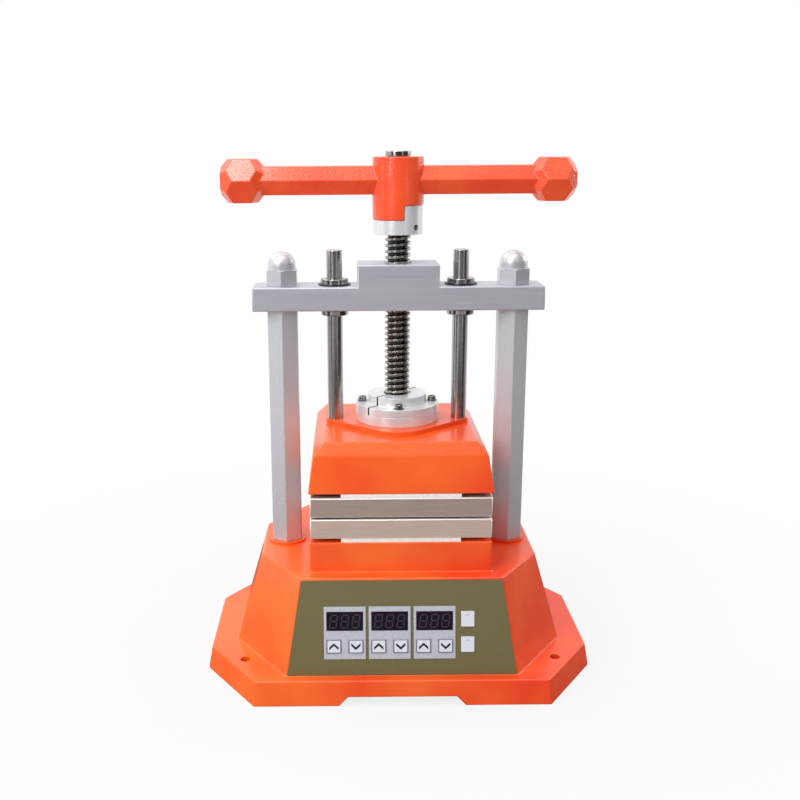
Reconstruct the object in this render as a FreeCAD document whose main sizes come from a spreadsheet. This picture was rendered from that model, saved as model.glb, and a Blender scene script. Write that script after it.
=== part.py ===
import FreeCAD, Part
import Sketcher
import math
import os
from types import SimpleNamespace

# Bench screw press with two heated platens, used to vulcanise rubber moulds.
# Millimetres. The floor is Z = 0, the lead screw's axis is the Z axis, and the
# control panel faces -Y. The press is modelled almost closed.

SIZES = {
    # Cast base: flange on the floor, tapered tower, deck and pedestal
    "base_half_length": 199.0,
    "base_half_depth": 136.0,
    "base_corner": 53.0,
    "corner_slope": 1.45,
    "flange_height": 25.0,
    "flange_draft": 4.5,
    "base_wall": 6.0,
    "tower_half_length": 169.0,
    "tower_half_depth": 121.0,
    "tower_corner": 54.0,
    "deck_half_length": 141.0,
    "deck_half_depth": 105.0,
    "deck_corner": 42.0,
    "deck_height": 121.0,
    "deck_wall": 7.0,
    "pedestal_half_width": 90.0,
    "pedestal_rise": 31.0,
    "pedestal_wall": 8.0,
    "notch_half_width": 53.0,
    "notch_slope": 9.0,
    "notch_height": 8.7,
    "mount_x": 157.5,
    "mount_y": 86.4,
    "mount_hole_radius": 5.1,
    "mount_boss_radius": 11.0,
    "column_pad_radius": 19.5,
    "column_pad_rise": 2.3,
    "column_boss_radius": 23.0,
    "column_boss_depth": 20.0,
    # Bottom cover
    "cover_gap": 0.5,
    "cover_underside": 9.2,
    "cover_thickness": 2.0,
    "cover_lug_x": 176.0,
    "cover_lug_y": 30.0,
    "cover_lug_radius": 6.0,
    "cover_screw_radius": 2.0,
    "cover_screw_length": 9.0,
    "cover_head_radius": 3.8,
    "cover_head_height": 2.2,
    # Columns, their nuts and the crossbeam
    "column_half_spacing": 117.0,
    "column_flats": 30.0,
    "beam_underside": 371.0,
    "beam_half_length": 146.0,
    "beam_half_depth": 22.0,
    "beam_thickness": 24.0,
    "beam_boss_half_length": 41.0,
    "beam_boss_rise": 22.0,
    "beam_edge": 1.0,
    "spigot_radius": 9.9,
    "spigot_clearance": 0.2,
    "nut_flats": 30.0,
    "foot_nut_height": 16.0,
    "foot_washer_radius": 18.5,
    "foot_washer_thickness": 3.0,
    "thread_end": 3.0,
    "cap_hex_height": 16.5,
    "cap_height": 34.0,
    "cap_dome_radius": 14.0,
    "cap_face_radius": 14.6,
    "cap_thread_depth": 25.0,
    # Lead screw and its bronze nut
    "screw_radius": 13.0,
    "screw_clearance": 0.08,
    "screw_neck_radius": 12.0,
    "screw_neck_length": 5.5,
    "nut_radius": 19.0,
    "nut_length": 40.0,
    "journal_radius": 10.0,
    "journal_clearance": 0.08,
    "foot_radius": 20.0,
    "foot_play": 0.3,
    "pilot_radius": 9.9,
    # Guide rods and their bearings
    "rod_half_spacing": 64.0,
    "rod_radius": 8.0,
    "rod_clearance": 0.05,
    "rod_top": 430.0,
    "bearing_radius": 14.0,
    "bearing_length": 37.0,
    "snap_ring_width": 2.5,
    "snap_ring_thickness": 1.2,
    "snap_ring_opening": 12.0,
    "rod_nut_flats": 24.0,
    "rod_nut_height": 8.0,
    "rod_boss_radius": 14.0,
    "rod_boss_depth": 13.0,
    # Platens, heaters and insulation boards
    "platen_half_width": 89.5,
    "platen_thickness": 20.0,
    "platen_gap": 2.0,
    "platen_edge": 1.0,
    "board_thickness": 4.0,
    "board_half_width": 59.0,
    "board_half_depth": 89.0,
    "heater_half_width": 50.0,
    "heater_half_depth": 60.0,
    "heater_thickness": 3.0,
    "heater_gap": 0.5,
    "platen_screw_x": 45.0,
    "platen_screw_y": 72.0,
    "platen_screw_radius": 3.0,
    "platen_screw_hold": 8.0,
    "platen_head_radius": 5.0,
    "platen_head_height": 6.0,
    "screw_fit": 0.05,
    "screw_slack": 0.4,
    "head_sink": 0.5,
    "probe_radius": 2.0,
    "probe_depth": 60.0,
    "probe_end_gap": 1.0,
    "probe_tail": 6.0,
    "probe_x": 25.0,
    # Moving head casting
    "head_half_width": 91.0,
    "head_half_depth": 89.5,
    "shoulder_half_width": 85.5,
    "shoulder_half_depth": 83.5,
    "shoulder_rise": 37.0,
    "head_top_half_width": 74.5,
    "head_top_half_depth": 75.0,
    "head_rise": 49.0,
    "head_wall": 6.0,
    "head_roof": 16.0,
    "plateau_half_width": 74.0,
    "plateau_end": 4.0,
    "plateau_tip": 68.7,
    "plateau_round": 32.0,
    "plateau_rise": 4.5,
    "head_post_radius": 8.0,
    "head_plate_thickness": 4.0,
    "head_plate_gap": 0.5,
    # Thrust collar that ties the screw to the head
    "collar_radius": 43.0,
    "collar_base_height": 10.0,
    "collar_floor": 2.0,
    "collar_flange_height": 8.0,
    "collar_boss_radius": 30.0,
    "collar_boss_rise": 9.0,
    "collar_split": 0.3,
    "collar_split_angle": 45.0,
    "collar_bore_gap": 0.6,
    "collar_recess_gap": 1.0,
    "collar_screw_circle": 36.0,
    "collar_screw_radius": 2.5,
    "collar_screw_hold": 9.0,
    "collar_head_radius": 4.25,
    "collar_head_height": 5.0,
    "thrust_outer_radius": 17.5,
    "thrust_washer_thickness": 2.5,
    "thrust_cage_thickness": 5.5,
    "thrust_cage_radius": 17.4,
    "thrust_cage_bore": 11.0,
    "washer_play": 0.1,
    # Clutch sleeve and handle
    "sleeve_bottom": 446.0,
    "sleeve_radius": 24.5,
    "sleeve_height": 14.0,
    "jaw_height": 14.2,
    "jaw_gap": 0.3,
    "sleeve_jaw_angle": 120.0,
    "hub_jaw_angle": 160.0,
    "jaw_start_angle": 282.7,
    "jaw_side_gap_angle": 0.6,
    "sleeve_pin_radius": 3.0,
    "sleeve_pin_angle": 314.0,
    "sleeve_pin_sink": 0.6,
    "sleeve_pin_end_gap": 0.3,
    "hub_radius": 25.2,
    "hub_swell": 0.7,
    "hub_height": 61.0,
    "bar_height": 38.5,
    "bar_flats": 28.0,
    "knob_flats": 42.5,
    "knob_length": 43.0,
    "knob_bevel": 12.5,
    "handle_half_length": 175.0,
    "retainer_radius": 12.7,
    "retainer_height": 5.0,
    "retainer_gap": 0.3,
    "retainer_screw_radius": 4.0,
    "retainer_screw_length": 18.0,
    "retainer_head_radius": 6.5,
    "retainer_head_height": 3.0,
    "retainer_head_sink": 0.5,
    "retainer_screw_end_gap": 1.0,
    # Control panel on the sloping front wall, measured down from the deck edge
    "panel_thickness": 0.8,
    "panel_top_down": 2.0,
    "panel_top_half": 98.6,
    "panel_bottom_down": 97.0,
    "panel_bottom_half": 113.2,
    "panel_window_left": -79.0,
    "panel_window_right": 75.0,
    "panel_window_top": 26.0,
    "panel_window_bottom": 82.0,
    "plate_thickness": 0.6,
    "plate_width": 41.0,
    "plate_tall": 52.5,
    "plate_pitch": 44.0,
    "plate_first_x": -56.0,
    "plate_down": 54.0,
    "display_width": 36.0,
    "display_tall": 19.0,
    "display_down": 42.3,
    "display_proud": 0.4,
    "key_width": 14.2,
    "key_tall": 13.5,
    "key_offset": 10.8,
    "key_down": 67.3,
    "key_proud": 0.9,
    "key_gap": 0.25,
    "key_flange": 1.0,
    "key_back_gap": 0.1,
    "key_flange_thickness": 1.0,
    "key_stem": 4.0,
    "function_key_width": 13.0,
    "function_key_tall": 15.4,
    "function_key_x": 64.5,
    "function_key_first_down": 40.7,
    "function_key_pitch": 25.4,
    "switch_size": 6.0,
    "switch_gap": 0.6,
    "circuit_depth": 8.4,
    "circuit_thickness": 1.6,
    "circuit_half_length": 87.0,
    "circuit_tall": 68.0,
    "circuit_post_radius": 4.0,
    "circuit_post_inset": 5.0,
    # Relay board on the bottom cover
    "relay_board_length": 130.0,
    "relay_board_width": 90.0,
    "relay_board_y": 20.0,
    "relay_post_height": 8.0,
    "relay_post_radius": 3.5,
    "transformer_length": 52.0,
    "transformer_width": 44.0,
    "transformer_height": 36.0,
    "relay_length": 28.0,
    "relay_width": 20.0,
    "relay_height": 16.0,
    "relay_pitch": 25.0,
    # Service plate over a window in the rear wall, for the inlet, switch and lower gland
    "service_half_length": 82.0,
    "service_tall": 44.0,
    "service_down": 66.0,
    "service_thickness": 2.0,
    "service_rim": 9.0,
    "service_screw_inset": 4.5,
    "service_screw_radius": 1.5,
    "service_screw_hold": 5.0,
    "service_head_radius": 2.9,
    "service_head_height": 1.8,
    # Mains inlet, power switch and cable glands
    "inlet_x": 48.0,
    "inlet_flange_length": 50.0,
    "inlet_flange_width": 24.0,
    "inlet_flange_thickness": 3.0,
    "inlet_body_length": 28.0,
    "inlet_body_width": 20.0,
    "inlet_body_depth": 24.0,
    "inlet_socket_wall": 2.5,
    "inlet_socket_depth": 17.0,
    "inlet_blade_length": 14.0,
    "inlet_blade_width": 4.0,
    "inlet_blade_thickness": 2.0,
    "inlet_blade_pitch": 7.0,
    "cutout_gap": 0.3,
    "rocker_x": 2.0,
    "rocker_frame_length": 31.0,
    "rocker_frame_width": 25.0,
    "rocker_frame_thickness": 2.0,
    "rocker_body_length": 27.0,
    "rocker_body_width": 21.0,
    "rocker_body_depth": 22.0,
    "rocker_wall": 2.5,
    "rocker_well_depth": 12.0,
    "rocker_width": 15.0,
    "rocker_pivot_depth": 5.0,
    "rocker_foot": 6.0,
    "rocker_drop": 4.5,
    "rocker_reach": 10.3,
    "rocker_side_low": 1.0,
    "rocker_side_high": 3.3,
    "rocker_crest": 5.1,
    "rocker_tilt": 10.0,
    "rocker_pin_radius": 1.5,
    "rocker_pin_gap": 0.08,
    "gland_x": -46.0,
    "head_gland_down": 14.0,
    "gland_flats": 19.0,
    "gland_hex_height": 5.0,
    "gland_dome_radius": 8.0,
    "gland_dome_height": 11.0,
    "gland_tip_radius": 5.5,
    "gland_bore_radius": 3.4,
    "gland_thread_radius": 6.0,
    "gland_thread_length": 12.0,
}


class Size:
    """A length or angle held as a number and as the sheet expression that gives it."""

    def __init__(self, value, text):
        self.value = value
        self.text = text

    def __add__(self, other):
        other = as_size(other)
        return Size(self.value + other.value, f"({self.text} + {other.text})")

    def __radd__(self, other):
        return as_size(other) + self

    def __sub__(self, other):
        other = as_size(other)
        return Size(self.value - other.value, f"({self.text} - {other.text})")

    def __rsub__(self, other):
        return as_size(other) - self

    def __mul__(self, other):
        other = as_size(other)
        return Size(self.value * other.value, f"({self.text} * {other.text})")

    def __rmul__(self, other):
        return as_size(other) * self

    def __truediv__(self, other):
        other = as_size(other)
        return Size(self.value / other.value, f"({self.text} / {other.text})")

    def __rtruediv__(self, other):
        return as_size(other) / self

    def __neg__(self):
        return Size(-self.value, f"(0 - {self.text})")


def as_size(item):
    """Return a plain number as a size, and a size as it is."""
    if isinstance(item, Size):
        return item
    return Size(float(item), f"({float(item)})")


def root(item):
    """Square root of a size."""
    return Size(math.sqrt(item.value), f"sqrt({item.text})")


def slope_angle(run, rise):
    """Angle in degrees of a wall that moves in by run over rise."""
    tilt = math.degrees(math.atan(run.value / rise.value))
    return Size(tilt, f"(atan({run.text} / {rise.text}) / 1 deg)")


doc = FreeCAD.newDocument("mould_press")
sheet = doc.addObject("Spreadsheet::Sheet", "size")
for row, (alias, number) in enumerate(SIZES.items(), start=1):
    sheet.set(f"A{row}", alias.replace("_", " "))
    sheet.set(f"B{row}", str(number))
    sheet.setAlias(f"B{row}", alias)
doc.recompute()
S = SimpleNamespace(**{alias: Size(sheet.get(alias), f"size.{alias}") for alias in SIZES})

X_AXIS = FreeCAD.Vector(1, 0, 0)
Y_AXIS = FreeCAD.Vector(0, 1, 0)
Z_AXIS = FreeCAD.Vector(0, 0, 1)
ACROSS = {"x": (Y_AXIS, 90.0), "y": (X_AXIS, -90.0), "z": (Z_AXIS, 0.0)}
nodes = {}


def bind(item, **sizes):
    """Bind properties of an object to sizes."""
    for name, length in sizes.items():
        item.setExpression(name, as_size(length).text)
    return item


def place(item, x=0, y=0, z=0, axis=Z_AXIS, angle=None):
    """Bind an object's position, and its turn about an axis, to sizes."""
    if angle is not None:
        item.Placement = FreeCAD.Placement(FreeCAD.Vector(), FreeCAD.Rotation(axis, 10.0))
        item.setExpression("Placement.Rotation.Angle", as_size(angle).text)
    for letter, length in (("x", x), ("y", y), ("z", z)):
        item.setExpression(f"Placement.Base.{letter}", as_size(length).text)
    return item


def block(name, length, width, height, x=0, y=0, z=0):
    """Box centred on x and y, standing on z."""
    item = bind(doc.addObject("Part::Box", name), Length=length, Width=width, Height=height)
    return place(item, as_size(x) - as_size(length) / 2, as_size(y) - as_size(width) / 2, z)


def rod(name, radius, height, x=0, y=0, z=0, along="z", angle=None):
    """Cylinder from (x, y, z) along an axis, or a sector of it that spans angle degrees."""
    item = bind(doc.addObject("Part::Cylinder", name), Radius=radius, Height=height)
    if along != "z":
        item.Placement = FreeCAD.Placement(FreeCAD.Vector(), FreeCAD.Rotation(*ACROSS[along]))
    if angle is not None:
        bind(item, Angle=angle)
    return place(item, x, y, z)


def taper(name, low_radius, high_radius, height, x=0, y=0, z=0, along="z"):
    """Cone frustum from (x, y, z) along an axis."""
    item = doc.addObject("Part::Cone", name)
    bind(item, Radius1=low_radius, Radius2=high_radius, Height=height)
    if along != "z":
        item.Placement = FreeCAD.Placement(FreeCAD.Vector(), FreeCAD.Rotation(*ACROSS[along]))
    return place(item, x, y, z)


def hexagon(name, flats, height, x=0, y=0, z=0, turn=30.0):
    """Upright hexagonal bar; at 30 degrees a corner points to the front."""
    item = doc.addObject("Part::Prism", name)
    item.Polygon = 6
    bind(item, Circumradius=as_size(flats) / math.sqrt(3), Height=height)
    return place(item, x, y, z, Z_AXIS, turn)


def fuse(name, *items):
    """Join several objects."""
    item = doc.addObject("Part::MultiFuse", name)
    item.Shapes = list(items)
    return item


def cut(name, base, *tools):
    """Cut one or more tools from a base."""
    item = doc.addObject("Part::Cut", name)
    item.Base = base
    item.Tool = tools[0] if len(tools) == 1 else fuse(f"{name}_tools", *tools)
    return item


def common(name, first, second):
    """Keep what two objects share."""
    item = doc.addObject("Part::MultiCommon", name)
    item.Shapes = [first, second]
    return item


def group(name, items):
    """Several like solids kept side by side in one node."""
    item = doc.addObject("Part::Compound", name)
    item.Links = list(items)
    return item


def keep(label, item):
    """Name an object as a finished piece."""
    item.Label = label
    nodes[label] = item
    return item


def draw(sketch, corners):
    """Draw a closed outline in a sketch and tie each corner to the sheet."""
    corners = [(as_size(x), as_size(y)) for x, y in corners]
    count = len(corners)
    for index in range(count):
        ends = (corners[index], corners[(index + 1) % count])
        points = [FreeCAD.Vector(x.value, y.value, 0) for x, y in ends]
        sketch.addGeometry(Part.LineSegment(*points), False)
    for index in range(count):
        sketch.addConstraint(Sketcher.Constraint("Coincident", index, 2, (index + 1) % count, 1))
    for index, pair in enumerate(corners):
        for kind, axis, length in zip(("DistanceX", "DistanceY"), (-2, -1), pair):
            if length.value == 0:
                sketch.addConstraint(Sketcher.Constraint("PointOnObject", index, 1, axis))
                continue
            rule = Sketcher.Constraint(kind, -1, 1, index, 1, length.value)
            sketch.setExpression(f"Constraints[{sketch.addConstraint(rule)}]", length.text)
    return sketch


def body(name):
    """Start a piece that is built from sketches."""
    return doc.addObject("PartDesign::Body", name)


def body_sketch(piece, plane, name):
    """Sketch on one of a body's own origin planes."""
    sketch = piece.newObject("Sketcher::SketchObject", name)
    role = {"XY": "XY_Plane", "XZ": "XZ_Plane", "YZ": "YZ_Plane"}[plane]
    face = [item for item in piece.Origin.OriginFeatures if item.Role == role][0]
    sketch.AttachmentSupport = [(face, "")]
    sketch.MapMode = "FlatFace"
    return sketch


def turned(piece, name, profile):
    """Revolve a profile of (radius, height) corners about the Z axis."""
    sketch = draw(body_sketch(piece, "XZ", f"{name}_profile"), profile)
    feature = piece.newObject("PartDesign::Revolution", name)
    feature.Profile = sketch
    feature.ReferenceAxis = (sketch, ["V_Axis"])
    feature.Angle = 360.0
    return feature


def frustum(name, low_z, low, high_z, high):
    """Solid between two level outlines."""
    sections = []
    for end, z, corners in (("low", low_z, low), ("high", high_z, high)):
        sketch = doc.addObject("Sketcher::SketchObject", f"{name}_{end}")
        sections.append(place(draw(sketch, corners), 0, 0, z))
    item = doc.addObject("Part::Loft", name)
    item.Sections = sections
    item.Solid = True
    item.Ruled = True
    return item


def octagon(half_length, half_depth, corner, inset=0):
    """Rectangle with four slanted corners, moved in by inset on every side."""
    slope = S.corner_slope
    shift = 1 + 1 / slope - root(1 + slope * slope) / slope
    x = half_length - inset
    y = half_depth - inset
    cut_x = corner - shift * inset
    cut_y = cut_x * slope
    right = [(x, y - cut_y), (x - cut_x, y)]
    left = [(-across, up) for across, up in reversed(right)]
    upper = right + left
    return upper + [(-across, -up) for across, up in upper]


def rectangle(half_width, half_depth):
    """Four corners of a level rectangle about the Z axis."""
    return [(half_width, half_depth), (-half_width, half_depth),
            (-half_width, -half_depth), (half_width, -half_depth)]


# Levels that several pieces share
pedestal_top = S.deck_height + S.pedestal_rise
lower_platen_z = pedestal_top + S.board_thickness
upper_platen_z = lower_platen_z + S.platen_thickness + S.platen_gap
head_underside = upper_platen_z + S.platen_thickness + S.board_thickness
head_top = head_underside + S.head_rise
plateau_top = head_top + S.plateau_rise
beam_top = S.beam_underside + S.beam_thickness
boss_top = beam_top + S.beam_boss_rise
collar_base_top = plateau_top + S.collar_base_height
collar_flange_top = collar_base_top + S.collar_flange_height
collar_top = collar_flange_top + S.collar_boss_rise
hub_bottom = S.sleeve_bottom + S.sleeve_height + S.jaw_gap
jaw_top = S.sleeve_bottom + S.sleeve_height + S.jaw_height
hub_top = S.sleeve_bottom + S.sleeve_height + S.hub_height
bar_z = S.sleeve_bottom + S.sleeve_height + S.bar_height
spigot_hole = S.spigot_radius + S.spigot_clearance
retainer_tap = S.retainer_screw_radius + S.screw_fit

# Slope of the tower's front and rear walls, and of the head's rear wall
tower_run = S.tower_half_depth - S.deck_half_depth
tower_rise = S.deck_height - S.flange_height
tower_tilt = slope_angle(tower_run, tower_rise)
head_tilt = slope_angle(S.head_half_depth - S.shoulder_half_depth, S.shoulder_rise)


def on_front(item):
    """Move a piece to the panel's frame: x right, y into the wall, z up the slope."""
    return place(item, 0, -S.deck_half_depth, S.deck_height, -X_AXIS, tower_tilt)


def on_rear(item):
    """Move a piece to the rear wall's frame: y out of the wall, z up the slope."""
    return place(item, 0, S.deck_half_depth, S.deck_height, X_AXIS, tower_tilt)


def on_service_plate(item):
    """Move a piece to the service plate's face, in the rear wall's directions."""
    slant = root(tower_run * tower_run + tower_rise * tower_rise)
    return place(item, 0, S.deck_half_depth + S.service_thickness * tower_rise / slant,
                 S.deck_height + S.service_thickness * tower_run / slant, X_AXIS, tower_tilt)


def on_head_rear(item):
    """Move a piece to the frame of the head's rear wall, from its shoulder edge."""
    z = head_underside + S.shoulder_rise
    return place(item, 0, S.shoulder_half_depth, z, X_AXIS, head_tilt)


def four(function, x, y):
    """Call function for the four corners (x, y) about the Z axis."""
    return [function(sign_x * x, sign_y * y) for sign_x in (-1, 1) for sign_y in (-1, 1)]


def tower_outline(z, inset):
    """Tower's outline at a height, moved in by a wall."""
    share = (z - S.flange_height) / tower_rise
    length = S.tower_half_length - share * (S.tower_half_length - S.deck_half_length)
    depth = S.tower_half_depth - share * tower_run
    corner = S.tower_corner - share * (S.tower_corner - S.deck_corner)
    return octagon(length, depth, corner, inset)


# Keys and displays of the panel: name, x and distance down from the deck edge
plate_xs = [S.plate_first_x + S.plate_pitch * index for index in range(3)]
arrow_keys = []
for index, plate_x in enumerate(plate_xs, start=1):
    arrow_keys.append((f"key_up_{index}", plate_x - S.key_offset))
    arrow_keys.append((f"key_down_{index}", plate_x + S.key_offset))
function_keys = [("function_key_1", S.function_key_first_down),
                 ("function_key_2", S.function_key_first_down + S.function_key_pitch)]


def key_hole(name, x, down, width, tall):
    """Opening through the panel that a key slides in."""
    gap = 2 * S.key_gap
    deep = S.panel_thickness + 2 * S.plate_thickness
    return block(name, width + gap, 4 * deep, tall + gap, x, 0, -down - (tall + gap) / 2)


def plate_opening(name, x, length, width):
    """Opening through the service plate round a box of that length and width."""
    gap = 2 * S.cutout_gap
    return block(name, length + gap, 4 * S.service_thickness, width + gap, x, 0,
                 -S.service_down - (width + gap) / 2)


def service_corners(name, radius, low, high):
    """Four cylinders across the rear wall at the service plate's screws."""
    side = S.service_half_length - S.service_screw_inset
    up = S.service_tall / 2 - S.service_screw_inset
    return four(lambda x, z: rod(name, radius, high - low, x, low, z - S.service_down, "y"),
                side, up)


def arrow_holes(name):
    """Openings for the six arrow keys."""
    return [key_hole(name, x, S.key_down, S.key_width, S.key_tall) for label, x in arrow_keys]


def display_holes(name):
    """Openings for the three displays."""
    deep = S.panel_thickness + 2 * S.plate_thickness
    z = -S.display_down - S.display_tall / 2
    return [block(name, S.display_width, 4 * deep, S.display_tall, x, 0, z) for x in plate_xs]


# Base casting: hollow, open underneath, with a notch between its front and rear feet
flange = frustum("flange", 0, octagon(S.base_half_length, S.base_half_depth, S.base_corner),
                 S.flange_height,
                 octagon(S.base_half_length, S.base_half_depth, S.base_corner, S.flange_draft))
tower = frustum("tower", S.flange_height, tower_outline(S.flange_height, 0),
                S.deck_height, tower_outline(S.deck_height, 0))
pedestal = block("pedestal", 2 * S.pedestal_half_width, 2 * S.pedestal_half_width,
                 S.pedestal_rise, 0, 0, S.deck_height)
flange_roof = S.flange_height - S.base_wall
deck_ceiling = S.deck_height - S.deck_wall
slant_wall = S.base_wall * root(tower_run * tower_run + tower_rise * tower_rise) / tower_rise
flange_hollow = frustum(
    "flange_hollow", 0,
    octagon(S.base_half_length, S.base_half_depth, S.base_corner, S.base_wall),
    flange_roof,
    octagon(S.base_half_length, S.base_half_depth, S.base_corner, S.base_wall + S.flange_draft))
tower_hollow = frustum("tower_hollow", flange_roof, tower_outline(flange_roof, slant_wall),
                       deck_ceiling, tower_outline(deck_ceiling, slant_wall))
pedestal_inner = 2 * (S.pedestal_half_width - S.pedestal_wall)
pedestal_hollow = block("pedestal_hollow", pedestal_inner, pedestal_inner,
                        S.deck_wall + S.pedestal_rise - S.pedestal_wall, 0, 0, deck_ceiling)
shell = cut("base_shell", fuse("base_outside", flange, tower, pedestal),
            flange_hollow, tower_hollow, pedestal_hollow)
column_pads = [rod("column_pad", S.column_pad_radius, S.column_pad_rise, side, 0, S.deck_height)
               for side in (-S.column_half_spacing, S.column_half_spacing)]
boss_z = deck_ceiling - S.column_boss_depth
column_bosses = [rod("column_boss", S.column_boss_radius, S.column_boss_depth, side, 0, boss_z)
                 for side in (-S.column_half_spacing, S.column_half_spacing)]
mount_bosses = four(lambda x, y: rod("mount_boss", S.mount_boss_radius, flange_roof, x, y, 0),
                    S.mount_x, S.mount_y)
lug_z = S.cover_underside + S.cover_thickness
lug_height = flange_roof - lug_z
cover_lugs = four(lambda x, y: rod("cover_lug", S.cover_lug_radius, lug_height, x, y, lug_z),
                  S.cover_lug_x, S.cover_lug_y)
solid_base = fuse("base_solid", shell, *column_pads, *column_bosses, *mount_bosses, *cover_lugs)
notch_low = S.notch_half_width + S.notch_slope
notch_sketch = doc.addObject("Sketcher::SketchObject", "notch_outline")
draw(notch_sketch, [(-notch_low, -1), (notch_low, -1), (notch_low, 0),
                    (S.notch_half_width, S.notch_height),
                    (-S.notch_half_width, S.notch_height), (-notch_low, 0)])
notch_sketch.Placement = FreeCAD.Placement(FreeCAD.Vector(), FreeCAD.Rotation(X_AXIS, 90.0))
notch = doc.addObject("Part::Extrusion", "notch")
notch.Base = notch_sketch
notch.DirMode = "Normal"
notch.Solid = True
bind(notch, LengthFwd=S.base_half_depth + 1, LengthRev=S.base_half_depth + 1)
column_holes = [rod("column_hole", spigot_hole, S.deck_height, side, 0, S.flange_height)
                for side in (-S.column_half_spacing, S.column_half_spacing)]
mount_holes = four(
    lambda x, y: rod("mount_hole", S.mount_hole_radius, S.flange_height + 2, x, y, -1),
    S.mount_x, S.mount_y)
lug_holes = four(
    lambda x, y: rod("lug_hole", S.cover_screw_radius + S.screw_fit, lug_height, x, y, lug_z),
    S.cover_lug_x, S.cover_lug_y)
platen_tap = S.platen_screw_radius + S.screw_fit
pedestal_taps = four(
    lambda x, y: rod("pedestal_tap", platen_tap, 2 * S.pedestal_wall, x, y,
                     pedestal_top - S.pedestal_wall - 1),
    S.platen_screw_x, S.platen_screw_y)
window_width = S.panel_window_right - S.panel_window_left
window_x = (S.panel_window_right + S.panel_window_left) / 2
window_box = block("window_box", window_width, 4 * S.base_wall,
                   S.panel_window_bottom - S.panel_window_top, window_x, 0,
                   -S.panel_window_bottom)
panel_window = on_front(group("panel_window", [window_box]))
window_tall = S.service_tall - 2 * S.service_rim
service_window = block("service_window", 2 * (S.service_half_length - S.service_rim),
                       4 * S.base_wall, window_tall, 0, 0, -S.service_down - window_tall / 2)
service_taps = service_corners("service_tap", S.service_screw_radius + S.screw_fit,
                               -2 * S.base_wall, as_size(1))
rear_openings = on_rear(group("rear_openings", [fuse("service_openings", service_window,
                                                     *service_taps)]))
keep("base_casting", cut("base_casting", solid_base, notch, panel_window, rear_openings,
                         *column_holes, *mount_holes, *lug_holes, *pedestal_taps))

# Bottom cover: sheet steel on four lugs, cut away round the mounting bosses
cover_outline = octagon(S.base_half_length, S.base_half_depth, S.base_corner,
                        S.base_wall + S.flange_draft + S.cover_gap)
cover_plate = frustum("cover_plate", S.cover_underside, cover_outline, lug_z, cover_outline)
boss_cutouts = four(
    lambda x, y: rod("boss_cutout", S.mount_boss_radius + S.cover_gap, lug_z, x, y, 1),
    S.mount_x, S.mount_y)
cover_holes = four(
    lambda x, y: rod("cover_hole", S.cover_screw_radius + S.screw_slack, lug_z, x, y, 1),
    S.cover_lug_x, S.cover_lug_y)
keep("bottom_cover", cut("bottom_cover", cover_plate, *boss_cutouts, *cover_holes))


def cover_screw(x, y):
    """Pan head screw that goes up through the cover into a lug."""
    shank = rod("cover_shank", S.cover_screw_radius, S.cover_screw_length, x, y,
                S.cover_underside)
    head = rod("cover_head", S.cover_head_radius, S.cover_head_height, x, y,
               S.cover_underside - S.cover_head_height)
    return fuse("cover_screw", shank, head)


keep("bottom_cover_screws", group("bottom_cover_screws",
                                  four(cover_screw, S.cover_lug_x, S.cover_lug_y)))

# Columns: hexagonal bars with a threaded spigot at each end
column_foot = S.deck_height + S.column_pad_rise
washer_z = boss_z - S.foot_washer_thickness
foot_nut_z = washer_z - S.foot_nut_height
spigot_low = foot_nut_z - S.thread_end
spigot_high = beam_top + S.cap_thread_depth - S.thread_end
for side, x in (("left", -S.column_half_spacing), ("right", S.column_half_spacing)):
    bar = hexagon("column_bar", S.column_flats, S.beam_underside - column_foot, x, 0, column_foot)
    stud = rod("column_stud", S.spigot_radius, spigot_high - spigot_low, x, 0, spigot_low)
    keep(f"{side}_column", fuse(f"{side}_column", bar, stud))


def column_fixing(x):
    """Washer and nut on a column's lower spigot, inside the base."""
    washer = rod("foot_washer", S.foot_washer_radius, S.foot_washer_thickness, x, 0, washer_z)
    washer_hole = rod("washer_hole", spigot_hole, S.foot_washer_thickness, x, 0, washer_z)
    nut = hexagon("foot_nut", S.nut_flats, S.foot_nut_height, x, 0, foot_nut_z)
    nut_hole = rod("nut_hole", S.spigot_radius, S.foot_nut_height, x, 0, foot_nut_z)
    return [cut("washer", washer, washer_hole), cut("nut", nut, nut_hole)]


keep("column_foot_nuts", group("column_foot_nuts", column_fixing(-S.column_half_spacing)
                               + column_fixing(S.column_half_spacing)))


def cap_nut(x):
    """Cap nut: hexagon with turned corners, and a dome on a short neck."""
    prism = hexagon("cap_prism", S.nut_flats, S.cap_hex_height, x, 0, beam_top)
    turning = taper("cap_turning", S.cap_face_radius + S.cap_hex_height * math.sqrt(3),
                    S.cap_face_radius, S.cap_hex_height, x, 0, beam_top)
    neck = rod("cap_neck", S.cap_dome_radius,
               S.cap_height - S.cap_dome_radius - S.cap_hex_height, x, 0,
               beam_top + S.cap_hex_height)
    dome = bind(doc.addObject("Part::Sphere", "cap_dome"), Radius=S.cap_dome_radius)
    dome.Angle1 = 0.0
    place(dome, x, 0, beam_top + S.cap_height - S.cap_dome_radius)
    thread = rod("cap_thread", S.spigot_radius, S.cap_thread_depth, x, 0, beam_top)
    outside = fuse("cap_outside", common("cap_hexagon", prism, turning), neck, dome)
    return cut("cap_nut", outside, thread)


keep("cap_nuts", group("cap_nuts", [cap_nut(-S.column_half_spacing),
                                    cap_nut(S.column_half_spacing)]))

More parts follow.
